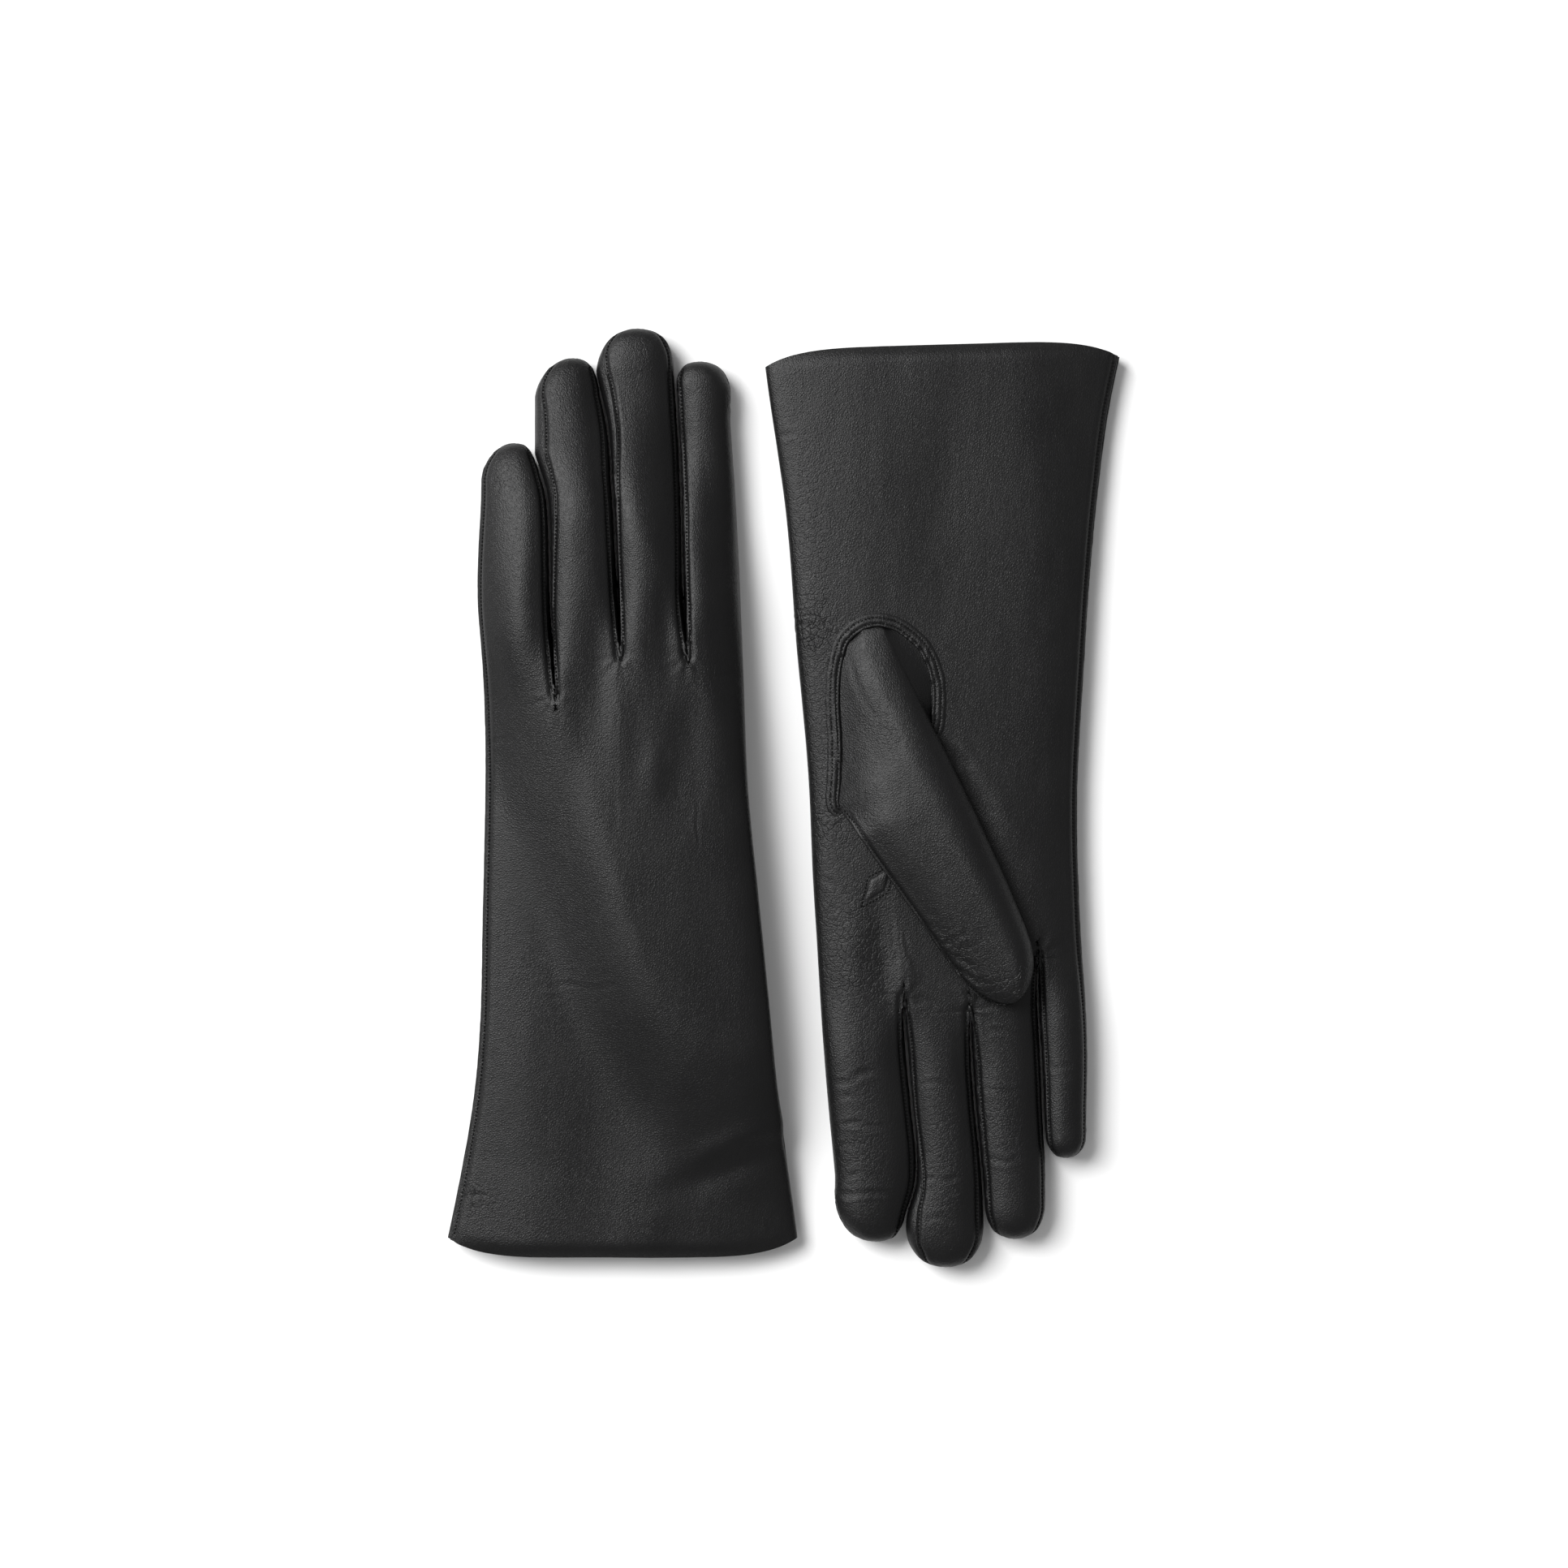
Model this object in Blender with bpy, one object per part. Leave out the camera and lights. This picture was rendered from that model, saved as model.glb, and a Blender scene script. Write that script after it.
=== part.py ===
"""A pair of long dress gloves in black leather, lying side by side with the fingers at opposite ends.

The left glove lies back up over its folded thumb, and the right glove palm up with its thumb across the palm.
Each glove is worked out in its own flat coordinates, in millimetres: u runs across from the little finger's
side to the index finger's, v runs from the hem to the fingertips, and z is the height above the table.
"""

import math

import bpy
import numpy as np

MM = 0.001

# Driving dimensions, in millimetres
LEATHER = 0.8
LINING = 0.8
GAP = 0.35
WRIST_V = 74.0
KNUCKLE_V = 217.0
LITTLE_KNUCKLE_V = 197.0
HEM_DEPTH = 16.0
HAND_HEIGHT = 13.4
CUFF_HEIGHT = 12.0
WRIST_HEIGHT = 12.8
FINGER_HEIGHT = 13.4
FLAT_CUT = 1.2
FINGER_CLEARANCE = 1.1
SEAM_HALF_HEIGHT = 2.7
WINDOW_DEPTH = 2.4
TIP_MARGIN = 9.0
THUMB_LENGTH = 79.5
THUMB_BASE_LENGTH = 46.0
THUMB_BASE_TAPER = 0.3
THUMB_HOLE = (18.5, 121.0)
THUMB_HOLE_RADII = (11.5, 25.0)
QUIRK_CENTRE = (21.5, 174.5)
QUIRK_HALF = (3.2, 8.0)
QUIRK_TURN = math.radians(-37)
LIFT_START = 32.0
LIFT_END = 60.0
LIFT_RADIUS = 21.5
LIFT_FALL = 32.0
LIFT_END_SHARE = 0.55

# How square each section is: 2 is an ellipse
HAND_POWER = 2.8
FINGER_POWER = 2.4

# Sides of a section and the number of sections along each kind of piece
HAND_SIDES = 24
FINGER_SIDES = 14

FINGERS = ("little", "ring", "middle", "index")

# (v, u) along each glove's edges and along the slits between its fingers, and (v, u) of each fingertip
GLOVES = {
    "left": {
        "origin": (-51.9, -147.2),
        "turn": 1,
        "edges": [
            [(0, -56.3), (17, -53), (54, -47.5), (117, -44.9), (160, -44.1), (190, -44.9), (211, -46.4),
             (243, -45.4)],
            [(180, -21.0), (196, -21.9), (222, -22.9), (238, -23.4), (245, -24.2), (258, -28.4)],
            [(190, 0), (207, -0.9), (230, -2.0), (249, -3.2), (266, -4.6), (285, -8.9)],
            [(190, 21.5), (203, 20.3), (226, 19.4), (249, 18.8), (267, 17.9), (287, 16.7)],
            [(0, 56.3), (17, 54.1), (54, 49.9), (85, 47), (117, 43.8), (148, 40.7), (190, 38.9), (232, 37),
             (269, 34.7)],
        ],
        "tips": [(261.5, -34.6), (289.0, -15.8), (298.5, 5.0), (287.8, 25.0)],
        "thumb_root": (18.0, 138.0),
        "thumb_tip": (-4.0, 207.0),
        "thumb_height": 9.6,
    },
    "right": {
        "origin": (51.7, 146.9),
        "turn": -1,
        "edges": [
            [(0, -56.5), (17, -53.2), (48, -49.4), (111, -44.6), (143, -42.8), (184, -43.6), (226, -45.9),
             (247, -45.7)],
            [(194, -29.9), (211, -30.1), (240, -31.6), (257, -32.4), (262, -32.8)],
            [(212, -7.9), (226, -8.6), (243, -9.7), (258, -11.2), (267, -12.1), (281, -12.9), (290, -13)],
            [(208, 13.4), (213, 13.2), (230, 11.9), (246, 10.4), (262, 9.0), (272, 9.6), (281, 12.4), (290, 13)],
            [(0, 57.6), (17, 55.4), (48, 51.5), (80, 48.6), (143, 43.6), (184, 41.5), (226, 38.9),
             (268, 35.2)],
        ],
        "tips": [(262.2, -39.0), (288.2, -22.6), (297.3, -0.4), (289.2, 22.0)],
        "thumb_root": (15.8, 142.0),
        "thumb_tip": (-20.5, 212.0),
        "thumb_height": 10.6,
    },
}

# (s, lateral) along the thumb's two edges, in its own frame: s runs along it from the knuckle, and lateral
# towards the index side
THUMB_EDGES = (
    [(-46, -20.6), (0, -18.8), (22, -18.1), (48, -16.7), (63, -15.2), (80, -11)],
    [(-46, -13), (-33, 4), (-20, 11.5), (0, 19.3), (21, 16.9), (39, 14.2), (57, 11.8), (80, 8)],
)


def material(name, colour, roughness):
    made = bpy.data.materials.new(name)
    made.use_nodes = True
    shader = made.node_tree.nodes["Principled BSDF"]
    shader.inputs["Base Color"].default_value = (*colour, 1)
    shader.inputs["Roughness"].default_value = roughness
    shader.inputs["Metallic"].default_value = 0
    return made


def world(glove, points):
    """Glove coordinates to metres in the pair's frame."""
    points = np.asarray(points, float)
    x, y = glove["origin"]
    return np.column_stack([
        x + glove["turn"] * points[:, 0],
        y + glove["turn"] * points[:, 1],
        points[:, 2],
    ]) * MM


def edge_at(edge, v):
    return np.interp(v, [p[0] for p in edge], [p[1] for p in edge])


def smooth(x):
    x = np.clip(x, 0, 1)
    return x * x * (3 - 2 * x)


def thumb_frame(glove):
    """The thumb's root, and its directions along and towards the index side, in glove coordinates."""
    root, tip = np.array(glove["thumb_root"]), np.array(glove["thumb_tip"])
    along = (tip - root) / np.linalg.norm(tip - root)
    return root, along, np.array([along[1], -along[0]])


def lift(glove, u, v):
    """How far the folded thumb under the left palm raises the leather that lies on it."""
    if glove["turn"] < 0:
        return np.zeros_like(np.asarray(u, float))
    root, direction, _ = thumb_frame(glove)
    start = root - LIFT_START * direction
    length = LIFT_START + LIFT_END
    along = (u - start[0]) * direction[0] + (v - start[1]) * direction[1]
    beside = (u - start[0]) * direction[1] - (v - start[1]) * direction[0]
    beyond = along - np.clip(along, 0, length)
    away = np.hypot(beside, beyond * LIFT_END_SHARE)
    return (glove["thumb_height"] + GAP) * (1 - smooth((away - LIFT_RADIUS) / LIFT_FALL))


def section(sides, half_width, height, inset, power):
    """A rounded section cut flat where it lies on the table: lateral and height of each of its points."""
    angles = (np.arange(sides) + 0.5) * 2 * math.pi / sides
    half_height = (height + FLAT_CUT) / 2
    across = np.sign(np.cos(angles)) * np.abs(np.cos(angles)) ** (2 / power)
    up = np.sign(np.sin(angles)) * np.abs(np.sin(angles)) ** (2 / power)
    peak = np.max(up)
    z = half_height - FLAT_CUT + (half_height - inset) * up / peak
    return (half_width - inset) * across, np.maximum(z, inset)


def new_object(name, body, points, faces, look):
    """A mesh of world points under the empty of its body."""
    mesh = bpy.data.meshes.new(name)
    mesh.from_pydata((np.asarray(points) - np.array(body.location)).tolist(), [], faces)
    mesh.validate()
    mesh.shade_smooth()
    mesh.set_sharp_from_angle(angle=math.radians(50))
    obj = bpy.data.objects.new(name, mesh)
    bpy.context.collection.objects.link(obj)
    obj.parent = body
    if look is None:
        obj.hide_render = True
        obj.display_type = "WIRE"
    else:
        mesh.materials.append(look)
    return obj


def shell(outer, inner, closed_tip):
    """Points and faces of a thin sleeve from its outer and inner sections, open at its first one.

    Its walls are triangles split the same way inside and out, so that two nested sleeves stay a gap apart.
    """
    rows, sides = len(outer), len(outer[0])
    points = [p for ring in outer for p in ring] + [p for ring in inner for p in ring]
    below = rows * sides
    faces = []
    for r in range(rows - 1):
        for k in range(sides):
            a, b = r * sides + k, r * sides + (k + 1) % sides
            for one, two, three in ((a, b, b + sides), (a, b + sides, a + sides)):
                faces.append((one, two, three))
                faces.append((below + three, below + two, below + one))
    for k in range(sides):
        a, b = k, (k + 1) % sides
        faces.append((b, a, below + a, below + b))
        if not closed_tip:
            c, d = (rows - 1) * sides + a, (rows - 1) * sides + b
            faces.append((c, d, below + d, below + c))
    if closed_tip:
        last = (rows - 1) * sides
        faces.append(tuple(last + k for k in range(sides)))
        faces.append(tuple(below + last + k for k in reversed(range(sides))))
    return points, faces


def facing_out(points, faces):
    """The faces turned so that the solid's volume is positive."""
    points = np.asarray(points)
    volume = 0.0
    for face in faces:
        for k in range(1, len(face) - 1):
            volume += np.dot(points[face[0]], np.cross(points[face[k]], points[face[k + 1]]))
    return faces if volume > 0 else [tuple(reversed(face)) for face in faces]


def loft(sections):
    """Points and faces of a solid through a row of sections with the same number of points."""
    sides = len(sections[0])
    points = [p for ring in sections for p in ring]
    faces = [tuple(reversed(range(sides)))]
    for r in range(len(sections) - 1):
        for k in range(sides):
            a, b = r * sides + k, r * sides + (k + 1) % sides
            faces.append((a, b, b + sides, a + sides))
    faces.append(tuple((len(sections) - 1) * sides + k for k in range(sides)))
    return points, faces


def boolean(obj, cutter, operation):
    cut = obj.modifiers.new(cutter.name, "BOOLEAN")
    cut.operation = operation
    cut.object = cutter
    cut.solver = "EXACT"


def hand_ring(glove, v, inset, height):
    low, high = edge_at(glove["edges"][0], v), edge_at(glove["edges"][4], v)
    across, z = section(HAND_SIDES, (high - low) / 2, height, inset, HAND_POWER)
    u = (low + high) / 2 + across
    return world(glove, np.column_stack([u, np.full_like(u, v), z + lift(glove, u, v)]))


def sleeve(name, glove, body, stations, inset, thickness, look):
    """A stretch of the hand or the cuff, as a thin tube open at both ends."""
    heights = np.interp(stations, [30, WRIST_V, 130], [CUFF_HEIGHT, WRIST_HEIGHT, HAND_HEIGHT])
    outer = [hand_ring(glove, v, inset, h) for v, h in zip(stations, heights)]
    inner = [hand_ring(glove, v, inset + thickness, h) for v, h in zip(stations, heights)]
    points, faces = shell(outer, inner, closed_tip=False)
    return new_object(name, body, points, facing_out(points, faces), look)


def finger_bounds(glove, number, v):
    low = edge_at(glove["edges"][number], v) + (FINGER_CLEARANCE / 2 if number > 0 else 0)
    high = edge_at(glove["edges"][number + 1], v) - (FINGER_CLEARANCE / 2 if number < 3 else 0)
    return low, high


def finger_root(number):
    return LITTLE_KNUCKLE_V if number == 0 else KNUCKLE_V


def finger_ring(glove, number, v, tip_share, inset):
    """One section of a finger: tip_share runs from 0, where its end begins to round off, to 1 at its tip."""
    tip_v, tip_u = glove["tips"][number]
    low, high = finger_bounds(glove, number, v)
    full = (1 - tip_share**2.4) ** (1 / 2.4)
    centre = (low + high) / 2 * (1 - tip_share) + tip_u * tip_share
    across, z = section(FINGER_SIDES, (high - low) / 2, FINGER_HEIGHT, inset, FINGER_POWER)
    middle = FINGER_HEIGHT / 2
    u = centre + across * full
    z = middle + (z - middle) * (0.25 + 0.75 * full)
    return world(glove, np.column_stack([u, np.full_like(u, v), z + lift(glove, u, v)]))


def finger_shell(name, glove, body, number, inset, thickness, look):
    """A finger's leather or lining: a thin tube with a closed, rounded tip."""
    tip_v = glove["tips"][number][0]
    start = finger_root(number) + GAP / 2
    low, high = finger_bounds(glove, number, start)
    round_length = (high - low) * 0.55

    def rings(deeper):
        end = tip_v - deeper
        body_part = np.linspace(start, end - round_length, 4)
        found = [finger_ring(glove, number, v, 0.0, deeper) for v in body_part]
        for share in (0.5, 0.8, 0.96):
            v = end - round_length * (1 - share)
            found.append(finger_ring(glove, number, v, share, deeper))
        return found

    points, faces = shell(rings(inset), rings(inset + thickness), closed_tip=True)
    return new_object(name, body, points, facing_out(points, faces), look)


def window(name, glove, body, number, side, shrink):
    """The stretch of a finger's side wall that a fourchette fills, as a cutter along that side."""
    tip_v = glove["tips"][number][0]
    start = finger_root(number) - 4
    end = tip_v - TIP_MARGIN - shrink
    middle = (FINGER_HEIGHT + FLAT_CUT) / 2 - FLAT_CUT
    half = SEAM_HALF_HEIGHT - shrink
    rings = []
    for v in np.linspace(start, end, 6):
        bounds = finger_bounds(glove, number, v)
        edge = bounds[1] if side > 0 else bounds[0]
        inside, outside = edge - side * WINDOW_DEPTH, edge + side * 2
        u = np.array([inside, outside, outside, inside])
        z = np.array([middle - half, middle - half, middle + half, middle + half])
        rings.append(world(glove, np.column_stack([u, np.full(4, v), z + lift(glove, np.full(4, edge), v)])))
    points, faces = loft(rings)
    return new_object(name, body, points, facing_out(points, faces), None)


def thumb_ring(glove, s, tip_share, inset):
    """One section of the thumb, across its own axis."""
    root, along, lateral = thumb_frame(glove)
    low, high = (edge_at(edge, s) for edge in THUMB_EDGES)
    height = glove["thumb_height"] * (1 - THUMB_BASE_TAPER * (min(s, 0) / THUMB_BASE_LENGTH) ** 2)
    full = (1 - tip_share**2.4) ** (1 / 2.4)
    across, z = section(FINGER_SIDES, (high - low) / 2, height, inset, FINGER_POWER)
    place = root + along * s + np.outer((low + high) / 2 + across * full, lateral)
    z = height / 2 + (z - height / 2) * (0.3 + 0.7 * full)
    base = 0.0 if glove["turn"] > 0 else HAND_HEIGHT + GAP
    return world(glove, np.column_stack([place, base + z]))


def thumb_shell(name, glove, body, inset, thickness, look):
    start, round_length = GAP / 2, 15.0

    def rings(deeper):
        end = THUMB_LENGTH - deeper
        found = [thumb_ring(glove, s, 0.0, deeper) for s in np.linspace(start, end - round_length, 4)]
        for share in (0.5, 0.8, 0.96):
            found.append(thumb_ring(glove, end - round_length * (1 - share), share, deeper))
        return found

    points, faces = shell(rings(inset), rings(inset + thickness), closed_tip=True)
    return new_object(name, body, points, facing_out(points, faces), look)


def thumb_base_shell(name, glove, body, inset, thickness, look):
    """The set-in part of the thumb, over the palm's oval hole."""

    def rings(deeper):
        end = THUMB_BASE_LENGTH - deeper
        return [thumb_ring(glove, s, 0.0, deeper) for s in (-GAP / 2, -end / 3, -end * 2 / 3, -end)]

    points, faces = shell(rings(inset), rings(inset + thickness), closed_tip=True)
    return new_object(name, body, points, facing_out(points, faces), look)


def palm_wall(glove, extra_hand, extra_thumb):
    """Heights of a cutter through the palm's wall that reaches so far into the hand and the thumb."""
    if glove["turn"] > 0:
        face = glove["thumb_height"] + GAP
        return face - extra_thumb, face + extra_hand
    return HAND_HEIGHT - extra_hand, HAND_HEIGHT + extra_thumb


def oval_cutter(name, glove, body, shrink, heights):
    turn = np.linspace(0, 2 * math.pi, 16, endpoint=False)
    u = THUMB_HOLE[0] + (THUMB_HOLE_RADII[0] - shrink) * np.cos(turn)
    v = THUMB_HOLE[1] + (THUMB_HOLE_RADII[1] - shrink) * np.sin(turn)
    rings = [world(glove, np.column_stack([u, v, np.full_like(u, z)])) for z in heights]
    points, faces = loft(rings)
    return new_object(name, body, points, facing_out(points, faces), None)


def quirk_cutter(name, glove, body, shrink, heights):
    """The small diamond of leather let into the palm beside the thumb."""
    across, along = QUIRK_HALF[0] - shrink, QUIRK_HALF[1] - 2 * shrink
    corners = np.array([(across, 0), (0, along), (-across, 0), (0, -along)])
    cos, sin = math.cos(QUIRK_TURN), math.sin(QUIRK_TURN)
    u = QUIRK_CENTRE[0] + corners[:, 0] * cos - corners[:, 1] * sin
    v = QUIRK_CENTRE[1] + corners[:, 0] * sin + corners[:, 1] * cos
    rings = [world(glove, np.column_stack([u, v, np.full_like(u, z)])) for z in heights]
    points, faces = loft(rings)
    return new_object(name, body, points, facing_out(points, faces), None)


def little_cutter(name, glove, body):
    """Ends the hand short where the little finger begins, one step back from the other three."""
    top = 40.0
    end = KNUCKLE_V + 6
    slit_start = edge_at(glove["edges"][1], LITTLE_KNUCKLE_V)
    slit_end = edge_at(glove["edges"][1], end)
    start = LITTLE_KNUCKLE_V - GAP / 2
    beside = FINGER_CLEARANCE / 2
    outline = [(-70, start), (slit_start + beside, start), (slit_end + beside, end), (-70, end)]
    rings = [world(glove, [(u, v, z) for u, v in outline]) for z in (-5, top)]
    points, faces = loft(rings)
    return new_object(name, body, points, facing_out(points, faces), None)


def empty(name, location):
    made = bpy.data.objects.new(name, None)
    made.empty_display_size = 0.01
    made.location = location
    bpy.context.collection.objects.link(made)
    return made


def knuckle_place(glove, number):
    """A point on a finger's joint axis: at its root, level with the leather on the palm's side."""
    v = finger_root(number)
    low, high = finger_bounds(glove, number, v)
    if glove["turn"] > 0:
        z = float(np.min(lift(glove, np.linspace(low, high, 9), v)))
    else:
        z = FINGER_HEIGHT
    return world(glove, [((low + high) / 2, v, z)])[0]


def build_glove(side, glove, leather, lining):
    hand = empty(f"{side}_hand_origin", world(glove, [(0, 150, 0)])[0])
    wrist_z = 0 if glove["turn"] > 0 else WRIST_HEIGHT
    cuff = empty(f"{side}_wrist_joint", world(glove, [(0, WRIST_V, wrist_z)])[0])
    inner = LEATHER + GAP

    cuff_stations = np.array([0, 17, 36, 54, WRIST_V - GAP / 2])
    sleeve(f"{side}_cuff_leather", glove, cuff, cuff_stations, 0, LEATHER, leather)
    sleeve(f"{side}_hem_facing", glove, cuff, np.array([0.4, 8, HEM_DEPTH]), inner, LINING, leather)
    lining_stations = np.array([HEM_DEPTH + GAP, 36, 54, WRIST_V - GAP / 2])
    sleeve(f"{side}_cuff_lining", glove, cuff, lining_stations, inner, LINING, lining)

    hand_stations = np.array([WRIST_V + GAP / 2, 96, 121, 146, 171, 192, KNUCKLE_V - GAP / 2])
    hand_leather = sleeve(f"{side}_hand_leather", glove, hand, hand_stations, 0, LEATHER, leather)
    hand_lining = sleeve(f"{side}_hand_lining", glove, hand, hand_stations, inner, LINING, lining)
    step = little_cutter(f"{side}_little_step_cutter", glove, hand)
    wall = palm_wall(glove, extra_hand=4.5, extra_thumb=0.2)
    hole = oval_cutter(f"{side}_thumb_hole_cutter", glove, hand, 0, wall)
    for piece in (hand_leather, hand_lining):
        boolean(piece, step, "DIFFERENCE")
        boolean(piece, hole, "DIFFERENCE")

    quirk_wall = palm_wall(glove, extra_hand=LEATHER + GAP / 2 + 0.1, extra_thumb=4)
    boolean(hand_leather, quirk_cutter(f"{side}_quirk_hole_cutter", glove, hand, 0, quirk_wall), "DIFFERENCE")
    quirk = sleeve(f"{side}_thumb_quirk", glove, hand, hand_stations, 0, LEATHER, leather)
    boolean(quirk, quirk_cutter(f"{side}_quirk_cutter", glove, hand, GAP, quirk_wall), "INTERSECT")

    mouth = palm_wall(glove, extra_hand=0.2, extra_thumb=LEATHER + LINING + 2 * GAP + 1.2)
    mouth_cutter = oval_cutter(f"{side}_thumb_mouth_cutter", glove, hand, 1.0, mouth)
    base = thumb_base_shell(f"{side}_thumb_base_leather", glove, hand, 0, LEATHER, leather)
    boolean(base, mouth_cutter, "DIFFERENCE")

    root, along, lateral = thumb_frame(glove)
    hinge_z = 0 if glove["turn"] > 0 else HAND_HEIGHT + GAP + glove["thumb_height"]
    thumb = empty(f"{side}_thumb_joint", world(glove, [(*root, hinge_z)])[0])
    thumb_shell(f"{side}_thumb_leather", glove, thumb, 0, LEATHER, leather)
    thumb_shell(f"{side}_thumb_lining", glove, thumb, inner, LINING, lining)

    for number, finger in enumerate(FINGERS):
        knuckle = empty(f"{side}_{finger}_joint", knuckle_place(glove, number))
        skin = finger_shell(f"{side}_{finger}_leather", glove, knuckle, number, 0, LEATHER, leather)
        finger_shell(f"{side}_{finger}_lining", glove, knuckle, number, inner, LINING, lining)
        for edge_side, neighbour in ((-1, number - 1), (1, number + 1)):
            if not 0 <= neighbour < len(FINGERS):
                continue
            place = f"{side}_{finger}_{FINGERS[neighbour]}"
            opening = window(f"{place}_window_cutter", glove, knuckle, number, edge_side, 0)
            boolean(skin, opening, "DIFFERENCE")
            strip = finger_shell(f"{place}_fourchette", glove, knuckle, number, 0, LEATHER, leather)
            kept = window(f"{place}_strip_cutter", glove, knuckle, number, edge_side, GAP)
            boolean(strip, kept, "INTERSECT")


def main():
    for obj in list(bpy.data.objects):
        bpy.data.objects.remove(obj)
    leather = material("black_leather", (0.018, 0.018, 0.019), 0.42)
    lining = material("knitted_lining", (0.03, 0.03, 0.032), 0.95)
    for side, glove in GLOVES.items():
        build_glove(side, glove, leather, lining)


main()
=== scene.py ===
"""The looks of a pair of long dress gloves in black nappa leather.

Each glove's skin is worked out in its own flat coordinates, in millimetres: u runs across from the
little finger's side to the index finger's, v runs from the hem to the fingertips, and z is the height above
the table. The skin is grown as strips of quads, welded, given its seams, puckers and creases, and cut into
sewn pieces. Upper and layer 1 mean the side away from the table, lower and layer -1 the side on it, and
layer 0 the walls between them.
"""

import math

import bpy
import numpy as np
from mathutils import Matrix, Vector
from mathutils.kdtree import KDTree


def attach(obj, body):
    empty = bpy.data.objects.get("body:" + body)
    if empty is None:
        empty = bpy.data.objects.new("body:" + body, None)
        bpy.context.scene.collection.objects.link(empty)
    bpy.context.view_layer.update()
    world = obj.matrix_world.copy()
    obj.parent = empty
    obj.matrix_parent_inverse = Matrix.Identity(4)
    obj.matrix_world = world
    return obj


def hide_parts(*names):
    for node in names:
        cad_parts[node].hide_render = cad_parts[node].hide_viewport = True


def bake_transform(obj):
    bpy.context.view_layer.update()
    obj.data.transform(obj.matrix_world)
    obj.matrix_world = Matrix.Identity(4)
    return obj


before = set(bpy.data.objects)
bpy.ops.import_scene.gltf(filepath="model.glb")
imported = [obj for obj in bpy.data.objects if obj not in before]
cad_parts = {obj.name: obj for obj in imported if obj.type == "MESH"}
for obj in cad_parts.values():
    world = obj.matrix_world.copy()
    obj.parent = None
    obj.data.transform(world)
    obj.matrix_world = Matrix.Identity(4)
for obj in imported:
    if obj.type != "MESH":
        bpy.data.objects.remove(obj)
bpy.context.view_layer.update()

MM = 0.001

# Driving dimensions, in millimetres, as in the frame
LEATHER = 0.8
HAND_HEIGHT = 13.4
WRIST_HEIGHT = 12.8
CUFF_HEIGHT = 12.0
WRIST_V = 74.0
HEM_DEPTH = 16.0
THUMB_GAP = 0.35

# Thicknesses of the linings and small pieces, how deep the inner pieces lie, and the skin's least height
LINING = 0.6
FINGER_LINING = 0.5
SHEET = 0.5
HEM_SUNK = 0.95
LINING_SUNK = 2.1
THUMB_LINING_SUNK = 1.7
TABLE_GAP = 0.03

# How much of a section's height the table and the leather's own weight flatten away
FLAT_CUT = 1.2

# Section shapes: 2 is an ellipse, more is squarer
HAND_POWER = 2.8
FINGER_POWER = 2.4
TIP_POWER = 2.3

# Fingertips: where their width is taken, the rounded length as a share of it, and how the height follows
TIP_WIDTH_AT = 14.0
TIP_ROUND = 0.56
TIP_FULLNESS = 0.62

# The rise of the left hand over its folded thumb, round a line that starts before the thumb's knuckle
LIFT_START = 32.0
LIFT_LENGTH = 92.0
LIFT_RADIUS = 21.5
LIFT_FALL = 32.0
LIFT_END_SHARE = 0.55

# Where the static hand ends and each finger's own piece begins, and how far from there a bend's second point
# lies
JOIN_V = {0: 198.0, 1: 215.5, 2: 215.5, 3: 215.5}
BEND_LENGTH = 13.0
SLIT_HALF_GAP = 0.35
JOIN_ROW = 0.06

# Seams and stitches
SHARP_ANGLE = math.radians(55)
INDEX_SEAM_END = 13.0
INDEX_STITCH_END = 11.0
STITCH_PITCH = 1.2
STITCH_LENGTH = 0.82
STITCH_RADIUS = 0.26
STITCH_INSET = 1.35
STITCH_SIDES = 6
STITCH_PROFILE = ((-0.5, 0.35), (-0.32, 0.9), (0.0, 1.0), (0.32, 0.9), (0.5, 0.35))
OUTSEAM_INSET = 1.9

# The turned edge round the thumb's hole: its section as (distance outwards, height), and its stitched rows
RIM_SECTION = ((-0.5, -1.5), (-0.15, -0.3), (0.05, 0.2), (0.3, 0.42), (0.7, 0.46), (1.1, 0.2), (1.5, 0.42),
               (2.0, 0.5), (2.5, 0.44), (2.9, 0.18), (3.3, 0.34), (3.9, 0.28), (4.6, -0.05), (5.0, -0.4))
RIM_ROWS = (1.1, 2.9)
RIM_POINTS = 260
RIM_SUNK = 1.6

# The small diamond let into the palm beside the thumb
QUIRK_CENTRE = (21.5, 174.5)
QUIRK_HALF = (3.2, 8.0)
QUIRK_TURN = math.radians(-37)
QUIRK_POINTS = 9

# Fineness of the skin and of the lining, in millimetres and in strips across a finger
SPACING = 1.1
COLUMNS = 30
LINING_SPACING = 3.0
LINING_COLUMNS = 9

# Joints: how far apart the two points of each bend lie, and their height; the pieces are not bent by them
# here
WRIST_SPREAD = 18.0
THUMB_BEND_LENGTH = 15.0
HALFWAY_UP = 6.0

# Light, table and camera, in metres and watts, with the sensor in millimetres
TABLE_REACH = 6.0
KEY_PLACE = (-1.5, 0.95, 2.0)
KEY_SIZE = 1.7
KEY_POWER = 112.0
WORLD_STRENGTH = 0.37
CAMERA_HEIGHT = 1.5
CAMERA_OVER = (0.0001, 0.0049)
SENSOR_WIDTH = 36.0
FRAME_WIDTH = 0.507

FINGERS = ("little", "ring", "middle", "index")

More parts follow.
